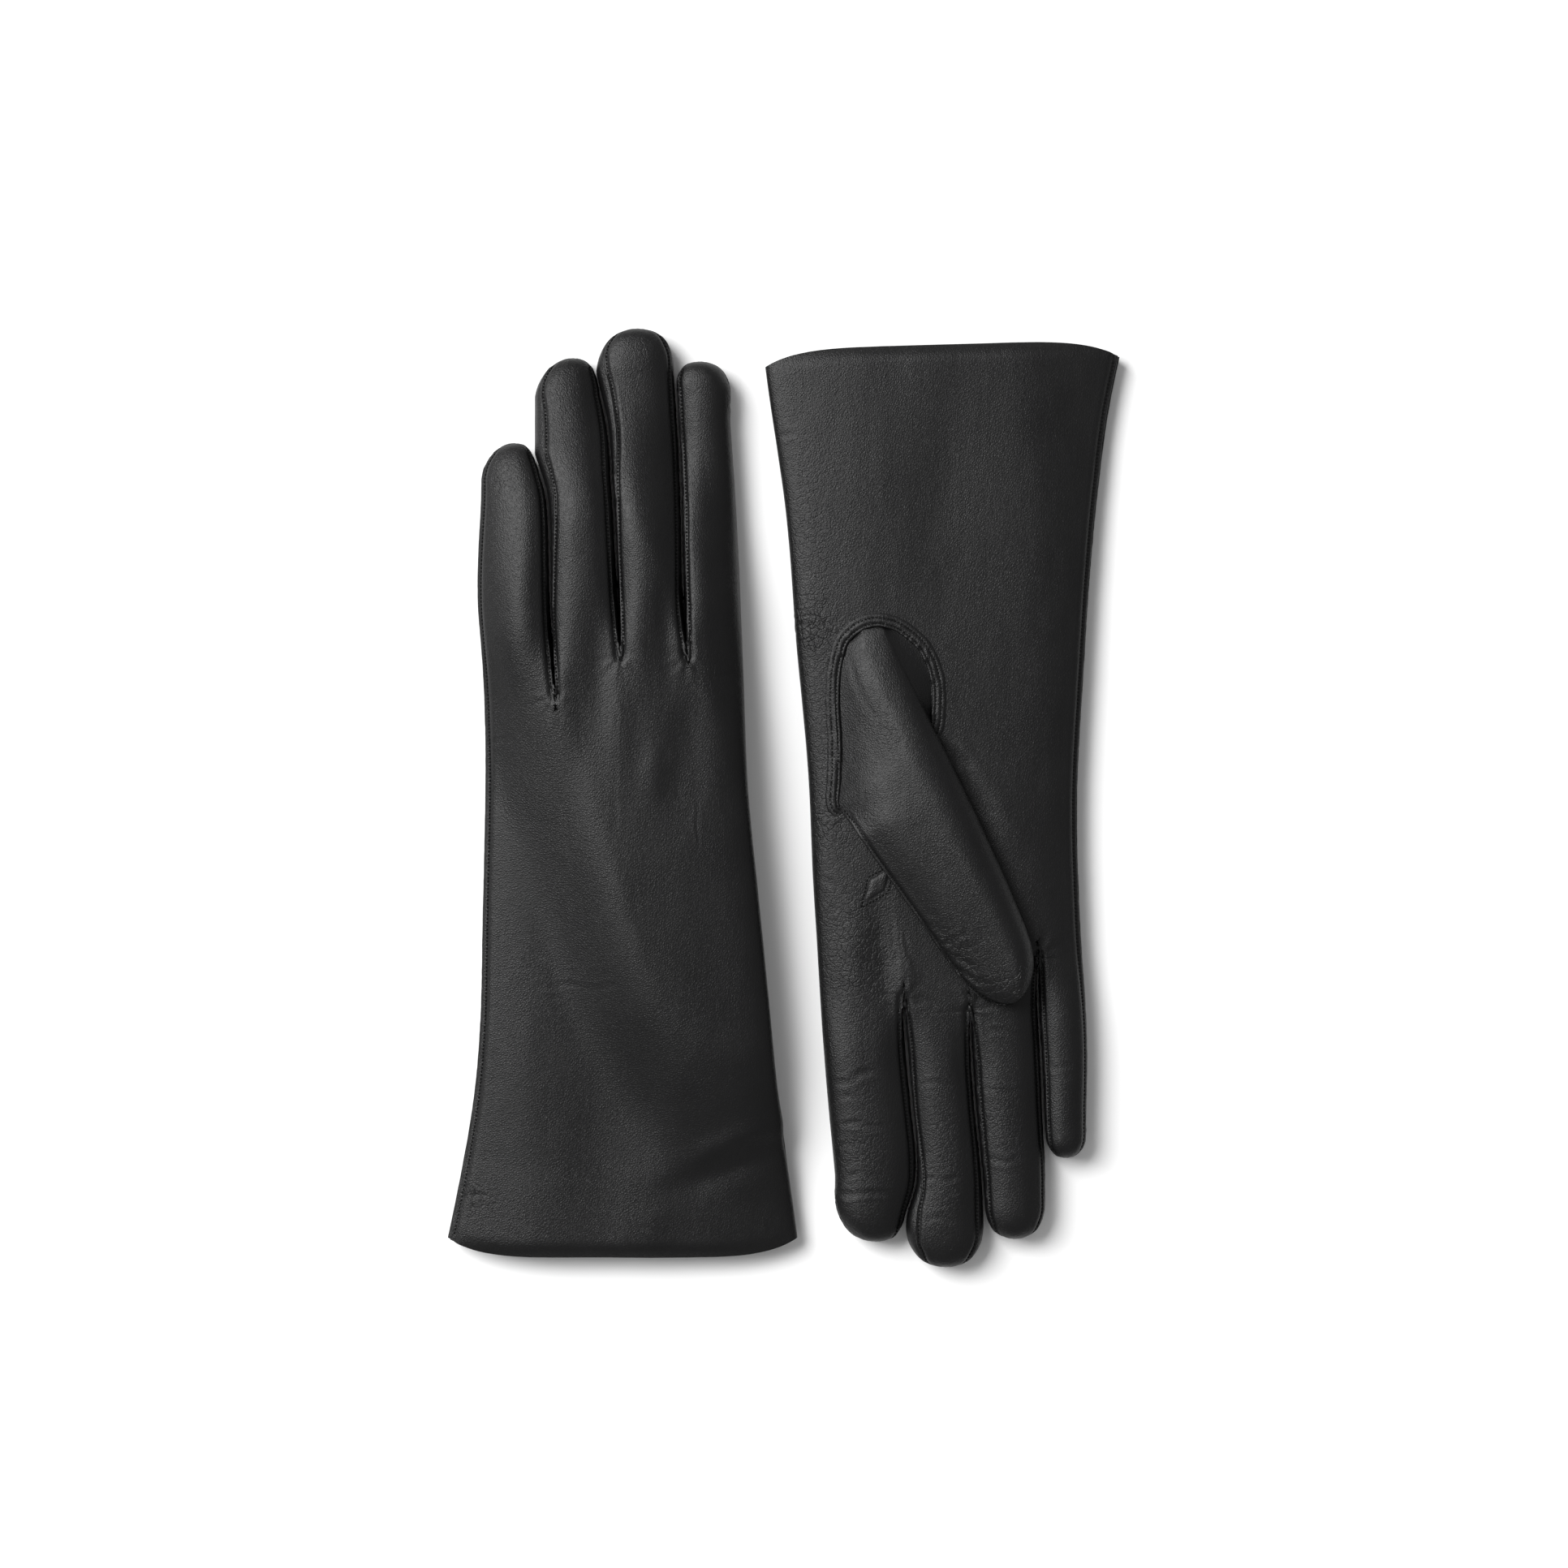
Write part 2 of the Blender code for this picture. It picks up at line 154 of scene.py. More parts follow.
# Each glove: its origin on the table and its turn; (v, u) tables of its five edges, from the little finger's
# side to the index finger's; (v, u) of its fingertips; its forks' v on the upper and on the lower face; each
# finger's seams on its little and index sides, as (v, share of the half width); its hem's corners and skew;
# its thumb; which face shows; creases as (line, depth, width); folds and wrinkled patches as (u, v, half
# width, half length, turn in degrees, height)
GLOVES = {
    "left": {
        "origin": (-51.9, -147.2),
        "turn": 1,
        "edges": [
            [(0, -56.3), (17, -53), (54, -47.5), (117, -44.9), (160, -44.1), (190, -44.9), (211, -46.4),
             (243, -45.4)],
            [(180, -21.0), (196, -21.9), (222, -22.9), (238, -23.4), (245, -24.2), (258, -28.4)],
            [(190, 0), (207, -0.9), (230, -2.0), (249, -3.2), (266, -4.6), (285, -8.9)],
            [(190, 21.5), (203, 20.3), (226, 19.4), (249, 18.8), (267, 17.9), (287, 16.7)],
            [(0, 56.3), (17, 54.1), (54, 49.9), (85, 47), (117, 43.8), (148, 40.7), (190, 38.9), (232, 37),
             (269, 34.7)],
        ],
        "tips": [(261.5, -34.6), (289.0, -15.8), (298.5, 5.0), (287.8, 25.0)],
        "upper_forks": (181.0, 193.5, 193.5),
        "lower_forks": (197.5, 215.0, 211.0),
        "seams": [
            ([(200, 0.97), (250, 0.95)], [(190, 0.93), (250, 0.95)]),
            ([(205, 0.95), (222, 0.93), (238, 0.86), (253, 0.77), (272, 0.76), (284, 0.92)],
             [(205, 0.93), (260, 0.92), (275, 0.95)]),
            ([(205, 0.95), (234, 0.95), (249, 0.92), (270, 0.79), (284, 0.77), (293, 0.94)],
             [(205, 0.93), (280, 0.95)]),
            ([(205, 0.93), (270, 0.94)], [(200, 1.0), (270, 1.0)]),
        ],
        "hem": (6.1, 0.0),
        "thumb_root": (18.0, 138.0),
        "thumb_tip": (-4.0, 207.0),
        "thumb_height": 9.6,
        "shown": 1,
        "creases": [
            ([(14.5, 165), (13.2, 156), (13.8, 146)], 0.16, 1.1),
            ([(-2.2, 188), (-1.2, 168), (-2.0, 148), (-0.5, 130)], 0.06, 0.6),
            ([(24.5, 149), (24.0, 139), (25.0, 130)], 0.06, 0.6),
            ([(-47, 166.3), (-40, 165.4), (-33.5, 166.4)], 0.13, 0.55),
            ([(-30, 86.5), (-17, 87.8), (-8, 86.9), (3.5, 88.8)], 0.12, 0.6),
            ([(26.5, 187.5), (32, 186.6), (38, 187.6)], 0.14, 0.55),
            ([(-51, 19.2), (-47.5, 20.6), (-44, 19.4)], 0.30, 0.6),
            ([(-50.5, 22.5), (-47.5, 21.2), (-45, 22.8)], 0.18, 0.55),
            ([(24, 29.5), (31, 33.4), (40, 36.2), (49, 39.4)], 0.2, 2.0),
            ([(-43.5, 231), (-40, 229.4), (-36, 231)], 0.16, 0.5),
            ([(-42, 249), (-38.5, 246.6), (-36.5, 249.5)], 0.22, 0.5),
            ([(-40, 252.5), (-38, 249), (-40.5, 246)], 0.2, 0.5),
        ],
        "folds": [
            (10.5, 157, 4.0, 8, -8, 0.45), (17, 154, 4.0, 12, 0, -0.35), (-31, 150, 7, 34, 4, 0.5),
            (-14, 158, 6, 26, -6, -0.5), (36, 30, 4.5, 20, -68, -0.9), (38, 38, 5, 20, -66, 0.7),
            (2, 110, 9, 30, 8, 0.5), (-8, 40, 8, 28, 4, -0.6), (14, 30, 7, 24, -6, 0.5),
            (-30, 60, 8, 34, 0, 0.4), (30, 100, 9, 30, 6, -0.5), (-33, 206, 4, 24, 0, 0.6),
            (-19, 194, 4, 17, 4, 0.75), (-7, 190, 4, 20, 4, -0.75), (5, 200, 3.5, 15, 4, 0.7),
            (14, 203, 3, 17, 3, -0.75), (-1, 172, 4.5, 20, 3, 0.5), (22, 166, 6, 24, 4, -0.8),
        ],
        "wrinkled": [(-40, 250, 8, 8, 0, 0.4), (-18, 276, 8, 12, 0, 0.25), (6, 290, 8, 8, 0, 0.2),
                     (-47, 20, 7, 7, 0, 0.6), (32, 187, 9, 8, 0, 0.35), (-20, 180, 30, 14, 0, 0.15)],
    },
    "right": {
        "origin": (51.7, 146.9),
        "turn": -1,
        "edges": [
            [(0, -56.5), (17, -53.2), (48, -49.4), (111, -44.6), (143, -42.8), (184, -43.6), (226, -45.9),
             (247, -45.7)],
            [(194, -29.9), (211, -30.1), (240, -31.6), (257, -32.4), (262, -32.8)],
            [(212, -7.9), (226, -8.6), (243, -9.7), (258, -11.2), (267, -12.1), (281, -12.9), (290, -13)],
            [(208, 13.4), (213, 13.2), (230, 11.9), (246, 10.4), (262, 9.0), (272, 9.6), (281, 12.4),
             (290, 13)],
            [(0, 57.6), (17, 55.4), (48, 51.5), (80, 48.6), (143, 43.6), (184, 41.5), (226, 38.9),
             (268, 35.2)],
        ],
        "tips": [(262.2, -39.0), (288.2, -22.6), (297.3, -0.4), (289.2, 22.0)],
        "upper_forks": (197.5, 215.0, 211.0),
        "lower_forks": (181.0, 193.5, 193.5),
        "seams": [
            ([(200, 0.97), (250, 0.97)], [(205, 0.92), (250, 0.93)]),
            ([(220, 0.93), (270, 0.95)], [(220, 0.92), (270, 0.93)]),
            ([(220, 0.93), (260, 0.92), (280, 0.9)],
             [(220, 0.93), (262, 0.93), (275, 0.84), (284, 0.77), (290, 0.82)]),
            ([(220, 0.92), (270, 0.95)], [(200, 1.0), (270, 1.0)]),
        ],
        "hem": (5.4, 1.6),
        "thumb_root": (15.8, 142.0),
        "thumb_tip": (-20.5, 212.0),
        "thumb_height": 10.6,
        "shown": 1,
        "creases": [
            ([(54.4, 30.4), (49, 29.6), (42.6, 30.4)], 0.2, 0.6),
            ([(49.2, 89.8), (43, 91.2), (35, 89.6)], 0.34, 0.6),
            ([(48, 93.4), (43, 92.2), (37.4, 93.4)], 0.26, 0.55),
            ([(49.5, 87), (45, 87.6), (41, 86.4)], 0.18, 0.5),
            ([(-0.7, 128.7), (-7, 137), (-12, 146), (-17.8, 156.2)], 0.32, 1.6),
            ([(-13.4, 150.6), (-15.1, 151.9), (-17, 151.2)], 0.2, 0.5),
            ([(36, 152.5), (34.6, 155.5), (34.8, 159)], 0.3, 0.6),
            ([(38.5, 150.5), (37.6, 153.5), (39, 157)], 0.2, 0.55),
            ([(41, 171), (36, 173.5), (30, 179)], 0.2, 0.7),
            ([(38, 181), (31, 184), (25, 186)], 0.2, 0.7),
            ([(17, 184), (16.4, 192), (14.5, 200)], 0.16, 0.6),
            ([(13, 189), (11.2, 197), (8.5, 203)], 0.13, 0.6),
            ([(20.5, 190), (19, 199), (17.5, 206)], 0.14, 0.6),
            ([(24, 186), (22.6, 193), (23.2, 199)], 0.12, 0.6),
            ([(31, 190), (32.5, 200), (31, 212)], 0.16, 0.9),
            ([(11, 213), (4, 211.5), (-2, 214)], 0.2, 0.6),
            ([(36, 237.8), (30, 237.2), (26, 234.6), (21.6, 233.7)], 0.36, 0.7),
            ([(35.5, 243), (31, 242), (27, 243.2)], 0.22, 0.6),
            ([(35.2, 252.2), (29, 250.6), (24, 252.4), (19, 251.6)], 0.34, 0.7),
            ([(35, 258), (30, 257), (26, 258.4)], 0.2, 0.6),
            ([(36, 272.6), (30, 273.8), (22, 272.4), (14.5, 274)], 0.34, 0.7),
            ([(32, 268), (27, 266.8), (22, 268.2)], 0.22, 0.6),
            ([(8.8, 267.8), (2, 268.8), (-7, 267.4)], 0.3, 0.6),
            ([(7.2, 282.3), (1, 281.3), (-5, 282.8)], 0.26, 0.6),
            ([(8, 238), (3, 237), (-3, 238.6)], 0.2, 0.6),
            ([(-13, 262), (-19, 263), (-26, 261.6)], 0.26, 0.6),
            ([(-12, 240), (-19, 241), (-26, 239.6)], 0.2, 0.6),
            ([(-12, 222), (-18, 221), (-25, 222.6)], 0.2, 0.6),
            ([(-33, 232), (-38, 233), (-43, 231.8)], 0.16, 0.6),
        ],
        "folds": [
            (30, 200, 5, 20, 0, 0.6), (20, 196, 4, 18, 6, -0.8), (13, 204, 3.5, 10, 0, 0.5),
            (38, 165, 5, 20, 0, 0.4), (-10, 150, 6, 24, 30, -0.8), (-20, 160, 8, 26, 24, 0.5),
            (46, 95, 6, 22, 0, 0.5), (0, 60, 10, 40, 0, -0.4), (-28, 60, 10, 40, 4, 0.4),
        ],
        "wrinkled": [(28, 196, 13, 24, 0, 0.6), (28, 258, 9, 26, 0, 0.4), (0, 262, 10, 26, 0, 0.35),
                     (-18, 250, 9, 24, 0, 0.3), (44, 92, 10, 8, 0, 0.6), (36, 156, 7, 8, 0, 0.5),
                     (44, 60, 12, 40, 0, 0.35), (40, 130, 8, 40, 0, 0.35)],
    },
}

# The thumb in its own frame: s runs along it from the knuckle, and lateral towards the index side. Its folded
# and its sewn edge and the inner side of its hole in the palm as (s, lateral), its height as (s, height), and
# its creases, folds and wrinkles in (lateral, s)
THUMB_FOLD = [(-48.6, -14), (-47.8, -17), (-46.7, -18.8), (-43, -19.3), (-33.8, -19.2), (0, -18.8),
              (22, -18.1), (48, -16.7), (63, -15.2), (80, -11)]
THUMB_SEAM = [(-48.6, -12.5), (-48, -9.5), (-46, -6), (-44, -4.2), (-41, -1.7), (-33, 3.2), (-20, 9.2),
              (-10, 14.5), (-1, 19.4), (4, 19.0), (21, 16.9), (39, 14.2), (57, 11.8), (80, 8)]
THUMB_RIM = [(-48.6, -14.2), (-47.8, -17.3), (-46.7, -19.2), (-44.7, -21.6), (-41.3, -23.8), (-36, -26),
             (-31, -26.4), (-15.8, -21.2), (-10.4, -17), (-6, -7), (-3, 6), (-1, 19.3)]
THUMB_RISE = [(-48.6, 0.8), (-45, 1.7), (-40, 2.8), (-30, 4.8), (-18, 6.8), (0, 8.8), (20, 9.9), (40, 10.2),
              (80, 9.6)]
THUMB_LENGTH = 79.5
THUMB_RISE_TOP = 10.6
THUMB_CREASES = [
    ([(12.5, 50), (7, 53), (2, 52)], 0.30, 0.55),
    ([(10.5, 56), (6.5, 60), (4, 66)], 0.35, 0.6),
    ([(11, 60), (7, 66), (2, 71)], 0.45, 0.65),
    ([(13, 44), (9, 47)], 0.22, 0.5),
    ([(-10, -22), (-4, -16), (-9, -9)], 0.12, 0.6),
    ([(-6, -44), (-3, -30), (-5, -14)], 0.14, 0.9),
]
THUMB_FOLDS = [(8, 16, 5, 16, 4, 0.25), (-2, 8, 5, 22, 3, -0.2)]
THUMB_WRINKLED = [(8, 58, 7, 12, 0, 0.7), (-6, -18, 6, 12, 0, 0.35), (12, 10, 5, 12, 0, 0.3)]
THUMB_TOP_ROW = -48.6
THUMB_JOIN = -1.0

FAR = 99.0

def smooth(x):
    """An even step: 0 up to 0, 1 from 1, and level at both ends."""
    x = np.clip(x, 0, 1)
    return x * x * (3 - 2 * x)

def bell(distance, width):
    """A bell: 1 at no distance, almost nothing at twice the width."""
    return np.exp(-((distance / width) ** 2))

def unit(vectors):
    """The same directions, one unit long."""
    return vectors / np.maximum(np.linalg.norm(vectors, axis=-1, keepdims=True), 1e-9)

def interpolate(places, length, values):
    """Rows of values at these lengths along a line."""
    return np.stack([np.interp(places, length, column) for column in values.T], axis=-1)

def curve(table, x):
    """A smooth curve through (x, y) pairs, level with its end values beyond them."""
    xs, ys = (np.array(c, float) for c in zip(*table))
    slopes = np.gradient(ys, xs)
    x = np.clip(x, xs[0], xs[-1])
    i = np.clip(np.searchsorted(xs, x) - 1, 0, len(xs) - 2)
    step = xs[i + 1] - xs[i]
    t = (x - xs[i]) / step
    return (
        (2 * t**3 - 3 * t**2 + 1) * ys[i]
        + (t**3 - 2 * t**2 + t) * step * slopes[i]
        + (3 * t**2 - 2 * t**3) * ys[i + 1]
        + (t**3 - t**2) * step * slopes[i + 1]
    )

def noise(points, seed=0):
    """Smooth value noise from -1 to 1, one cell to each unit."""
    points = np.asarray(points, float)
    cell = np.floor(points).astype(np.int64)
    part = points - cell
    part = part * part * (3 - 2 * part)
    total = np.zeros(len(points))
    for corner in range(8):
        d = np.array([corner & 1, corner >> 1 & 1, corner >> 2 & 1])
        x, y, z = (cell + d).T
        h = (x * 73856093) ^ (y * 19349663) ^ (z * 83492791) ^ (seed * 2654435761 + 974711)
        h = (h ^ (h >> 13)) * 1274126177 & 0xFFFFFFFF
        h = (h ^ (h >> 16)) * 2246822519 & 0xFFFFFFFF
        share = np.prod(np.where(d, part, 1 - part), axis=1)
        total += share * ((h & 0xFFFFFF) / 0x7FFFFF - 1)
    return total

def plane_noise(x, y, seed):
    """The same noise over a grid of places on a plane."""
    flat = np.stack([x.ravel(), y.ravel(), np.full(x.size, 0.37)], axis=1)
    return noise(flat, seed).reshape(x.shape)

class Form:
    """One glove's shape: where each strip of its skin lies."""

    def __init__(self, side):
        self.side = side
        self.glove = GLOVES[side]
        self.forks = {1: self.glove["upper_forks"], -1: self.glove["lower_forks"]}
        outer = (self.glove["edges"][0], self.glove["edges"][4])
        self.shares = []
        for slit in self.glove["edges"][1:4]:
            table = []
            for v, u in slit:
                low, high = (float(curve(e, v)) for e in outer)
                table.append((v, (u - low) / (high - low)))
            self.shares.append(table)
        root, tip = (np.array(self.glove[k]) for k in ("thumb_root", "thumb_tip"))
        self.thumb_root = root
        self.thumb_along = (tip - root) / np.linalg.norm(tip - root)
        self.thumb_side = np.array([self.thumb_along[1], -self.thumb_along[0]])

    def world(self, points):
        """Glove coordinates to metres in the pair's frame."""
        turn = self.glove["turn"]
        return (np.asarray(points, float) * [turn, turn, 1] + [*self.glove["origin"], 0]) * MM

    def boundary(self, number, v):
        """The line before this finger, from 0 at the little finger's side to 4 at the index finger's."""
        low, high = curve(self.glove["edges"][0], v), curve(self.glove["edges"][4], v)
        if number == 0:
            return low
        if number == 4:
            return high
        return low + (high - low) * curve(self.shares[number - 1], v)

    def lift(self, u, v):
        """How far the thumb folded under the left palm raises the leather on it."""
        if self.glove["turn"] < 0:
            return np.zeros(np.broadcast(u, v).shape)
        along, beside = self.along_thumb(u, v)
        along = along + LIFT_START
        beyond = along - np.clip(along, 0, LIFT_LENGTH)
        away = np.hypot(beside, beyond * LIFT_END_SHARE)
        return (self.glove["thumb_height"] + THUMB_GAP) * (1 - smooth((away - LIFT_RADIUS) / LIFT_FALL))

    def along_thumb(self, u, v):
        """A place in the thumb's own frame: along it from its knuckle, and beside it."""
        u, v = u - self.thumb_root[0], v - self.thumb_root[1]
        along = u * self.thumb_along[0] + v * self.thumb_along[1]
        return along, u * self.thumb_side[0] + v * self.thumb_side[1]

    def tip_width(self, number):
        """A finger's width a little before its tip."""
        v = self.glove["tips"][number][0] - TIP_WIDTH_AT
        return float(self.boundary(number + 1, v) - self.boundary(number, v))

    def hand_half_height(self, v):
        return (curve([(30, CUFF_HEIGHT), (WRIST_V, WRIST_HEIGHT), (130, HAND_HEIGHT)], v) + FLAT_CUT) / 2

    def hand_z(self, u, v, layer):
        """The height of the hand's upper (layer 1) or lower (-1) face."""
        low, high = self.boundary(0, v), self.boundary(4, v)
        across = np.clip(np.abs(2 * (u - low) / (high - low) - 1), 0, 1)
        half = self.hand_half_height(v)
        return half - FLAT_CUT + layer * half * (1 - across**HAND_POWER) ** (1 / HAND_POWER)

    def finger(self, number, v, layer):
        """A finger at v: its centre, half width and fullness, where its two seams are as shares of the half
        width, and how far each side has changed from the hand's section to the finger's."""
        forks = self.forks[layer]
        low, high = self.boundary(number, v), self.boundary(number + 1, v)
        tip_v, tip_u = self.glove["tips"][number]
        round_length = self.tip_width(number) * TIP_ROUND
        share = np.clip((v - tip_v + round_length) / round_length, 0, 1)
        full = (1 - share**TIP_POWER) ** (1 / TIP_POWER)
        seams, states = [], []
        for edge, slit in ((0, number - 1), (1, number)):
            seam = curve(self.glove["seams"][number][edge], v)
            inner = 0 <= slit < 3
            opened = smooth((v - forks[slit]) / 20) if inner else 1.0
            closing = 1 - smooth((v - tip_v + 5) / 5)
            seams.append(1 - (1 - seam) * opened * closing)
            if inner:
                gap = SLIT_HALF_GAP * smooth((v - forks[slit]) / 8)
                low, high = (low + gap, high) if edge == 0 else (low, high - gap)
            states.append(smooth((v - forks[slit] + 5) / 27) if inner else None)
        little, index = states
        states = [index if little is None else little, little if index is None else index]
        centre = (low + high) / 2 * (1 - share) + tip_u * share
        return centre, (high - low) / 2 * full, full**TIP_FULLNESS, seams, states

    def finger_point(self, number, v, layer, angle):
        """A point of the finger's own section: angle 0 at its index side, a half turn at its other side."""
        centre, half, fullness, _, _ = self.finger(number, v, layer)
        power = 2 / FINGER_POWER
        height = (HAND_HEIGHT + FLAT_CUT) / 2
        cos, sin = np.cos(angle), np.sin(angle)
        u = centre + half * np.sign(cos) * np.abs(cos) ** power
        z = height - FLAT_CUT + height * fullness * np.sign(sin) * np.abs(sin) ** power
        return u, z

    def seam_angle(self, share):
        """The section's angle where its width is this share of the whole."""
        return np.arccos(np.clip(share, 0, 1) ** (FINGER_POWER / 2))

    def face(self, number, v, t, layer):
        """The upper (layer 1) or lower (-1) strip of a finger and of the hand below it. t is 0 at its little
        side and 1 at its index side."""
        _, _, _, seams, states = self.finger(number, v, layer)
        first = math.pi - self.seam_angle(seams[0])
        last = self.seam_angle(seams[1])
        angle = layer * (first + t * (last - first))
        u, z = self.finger_point(number, v, layer, angle)
        mix = smooth(t)
        state = states[0] * (1 - mix) + states[1] * mix
        hand = self.hand_z(u, v, layer)
        return u, hand + (z - hand) * state

    def web(self, slit, v):
        """The line where the walls of a slit meet, from the fork that opens first to the other."""
        upper, lower = self.forks[1][slit], self.forks[-1][slit]
        first, last = min(upper, lower), max(upper, lower)
        opens = 1 if upper < lower else -1
        one = np.ones(1)
        _, start = self.face(slit, one * first, one, opens)
        _, end = self.face(slit, one * last, one, -opens)
        share = np.clip((v - first) / (last - first), 0, 1) ** (2.0 if self.side == "right" else 0.55)
        return self.boundary(slit + 1, v), start + (end - start) * share

    def wall(self, number, v, q, edge):
        """A finger's side wall: q is 0 at its upper edge, 1 at its lower one. Edge 1 is its index side."""
        slit = number if edge else number - 1
        t = np.full_like(v, float(edge))
        top, bottom = self.face(number, v, t, 1), self.face(number, v, t, -1)
        inner = 0 <= slit < 3
        if inner:
            web = self.web(slit, v)
            top = [np.where(v < self.forks[1][slit], w, p) for w, p in zip(web, top)]
            bottom = [np.where(v < self.forks[-1][slit], w, p) for w, p in zip(web, bottom)]
            state = smooth((v - max(self.forks[1][slit], self.forks[-1][slit])) / 9)
        straight = [a + q * (b - a) for a, b in zip(top, bottom)]
        _, _, _, seams, states = self.finger(number, v, 1)
        _, _, _, low_seams, _ = self.finger(number, v, -1)
        start, end = self.seam_angle(seams[edge]), -self.seam_angle(low_seams[edge])
        angle = start + q * (end - start)
        u, z = self.finger_point(number, v, 1, angle if edge else math.pi - angle)
        if not inner:
            state = states[edge]
            low, high = self.boundary(0, v), self.boundary(4, v)
            half = self.hand_half_height(v)
            reach = [np.abs(2 * (p[0] - low) / (high - low) - 1) for p in (top, bottom)]
            a, b = (np.arccos(np.clip(r, 0, 1) ** (HAND_POWER / 2)) for r in reach)
            turn = a - q * (a + b)
            sign = 1 if edge else -1
            across = np.abs(np.cos(turn)) ** (2 / HAND_POWER)
            hand_u = (low + high) / 2 + sign * (high - low) / 2 * across
            upwards = np.sign(np.sin(turn)) * np.abs(np.sin(turn)) ** (2 / HAND_POWER)
            straight = [hand_u, half - FLAT_CUT + half * upwards]
        points = [s + state * (p - s) for s, p in zip(straight, (u, z))]
        fixed = []
        for p, a, b in zip(points, top, bottom):
            fixed.append(p + (1 - q) * (a - p[:, :1]) + q * (b - p[:, -1:]))
        return fixed

    def place(self, u, v, z):
        """Sets a strip on the table and on what lies under it, and shapes the hem. Returns its points."""
        u, v, z = np.broadcast_arrays(u, v, z)
        z = (z + np.sqrt(z * z + 0.35)) / 2
        low, high = self.boundary(0, v), self.boundary(4, v)
        across = np.clip(2 * (u - low) / (high - low) - 1, -1, 1)
        corner, skew = self.glove["hem"]
        near_hem = 1 - smooth(v / 70)
        moved = v + near_hem * (corner * np.abs(across) ** 6 + skew * (across + 0.5))
        roll = np.clip(1 - v / 5.5, 0, 1) ** 2
        z = z - np.clip((z - 6) / 3, -1, 1) * roll * 2.1 * (1 - across**4)
        lifted = self.lift(u, moved)
        slump = 0.3 * plane_noise(u / 37 + 0.3, v / 61 + 0.2, 5)
        flare = 0.9 * near_hem * plane_noise(u / 23, v / 60, 8)
        rise = (slump + flare) * smooth((z - 3) / 6)
        return np.stack([u, moved, z + lifted + rise], axis=-1)

class Skin:
    """Strips of quads, welded where their points meet."""

    def __init__(self):
        self.patches = []
        self.runs = []

    def add(self, points, label, **facts):
        rows, cols = points.shape[:2]
        self.patches.append((points, label, {k: np.broadcast_to(x, (rows, cols)) for k, x in facts.items()}))
        return len(self.patches) - 1

    def weld(self):
        """Joins the strips into points with a normal and facts each, and faces with a label each."""
        flat = np.concatenate([p.reshape(-1, 3) for p, _, _ in self.patches])
        keys = np.round(flat * 2000).astype(np.int64)
        _, first, inverse = np.unique(keys, axis=0, return_index=True, return_inverse=True)
        inverse = inverse.ravel()
        self.points = flat[first]
        self.facts = {}
        for name in self.patches[0][2]:
            values = np.concatenate([f[name].ravel() for _, _, f in self.patches])
            if name == "seam":
                kept = np.full(len(first), np.inf)
                np.minimum.at(kept, inverse, values)
                self.facts[name] = kept
            else:
                self.facts[name] = values[first]
        self.grids, faces, labels, start = [], [], [], 0
        for points, label, _ in self.patches:
            rows, cols = points.shape[:2]
            grid = inverse[start : start + rows * cols].reshape(rows, cols)
            start += rows * cols
            self.grids.append(grid)
            quads = np.stack([grid[:-1, :-1], grid[:-1, 1:], grid[1:, 1:], grid[1:, :-1]], -1).reshape(-1, 4)
            faces.append(quads)
            labels += [label] * len(quads)
        self.faces = np.concatenate(faces)
        self.labels = np.array(labels)
        opposite = (self.faces[:, 0] == self.faces[:, 2]) | (self.faces[:, 1] == self.faces[:, 3])
        twice = (self.faces == np.roll(self.faces, 1, axis=1)).sum(axis=1)
        keep = ~opposite & (twice < 2)
        self.faces, self.labels = self.faces[keep], self.labels[keep]
        self.find_normals()

    def find_normals(self):
        corners = self.points[self.faces]
        across = unit(np.cross(corners[:, 2] - corners[:, 0], corners[:, 3] - corners[:, 1]))
        normals = np.zeros_like(self.points)
        for k in range(4):
            np.add.at(normals, self.faces[:, k], across)
        self.normals = unit(normals)

    def displace(self, amount):
        """Moves each point outwards by its amount, and keeps all of them above the table."""
        self.points = self.points + self.normals * amount[:, None]
        self.points[:, 2] = np.maximum(self.points[:, 2], TABLE_GAP)
        self.find_normals()

def arc_lengths(points):
    """Length along each row from its first point, in millimetres."""
    steps = np.linalg.norm(np.diff(points, axis=1), axis=2)
    return np.concatenate([np.zeros((len(points), 1)), np.cumsum(steps, axis=1)], axis=1)

def edge_spacing(columns):
    """Places from 0 to 1 across a strip, closer together at its two edges, where the seams are."""
    x = np.linspace(-1, 1, columns + 1)
    return 0.5 + 0.5 * (0.2 * x + 0.8 * np.sin(x * math.pi / 2))

def rows_between(start, end, spacing, marks=()):
    """Evenly spaced rows that also pass through each mark."""
    rows = [float(x) for x in np.linspace(start, end, int(round((end - start) / spacing)) + 1)]
    marks = [m for m in marks if start < m < end]
    rows = [x for x in rows if x in (start, end) or all(abs(x - m) > spacing * 0.4 for m in marks)]
    return np.array(sorted(rows + list(marks)))

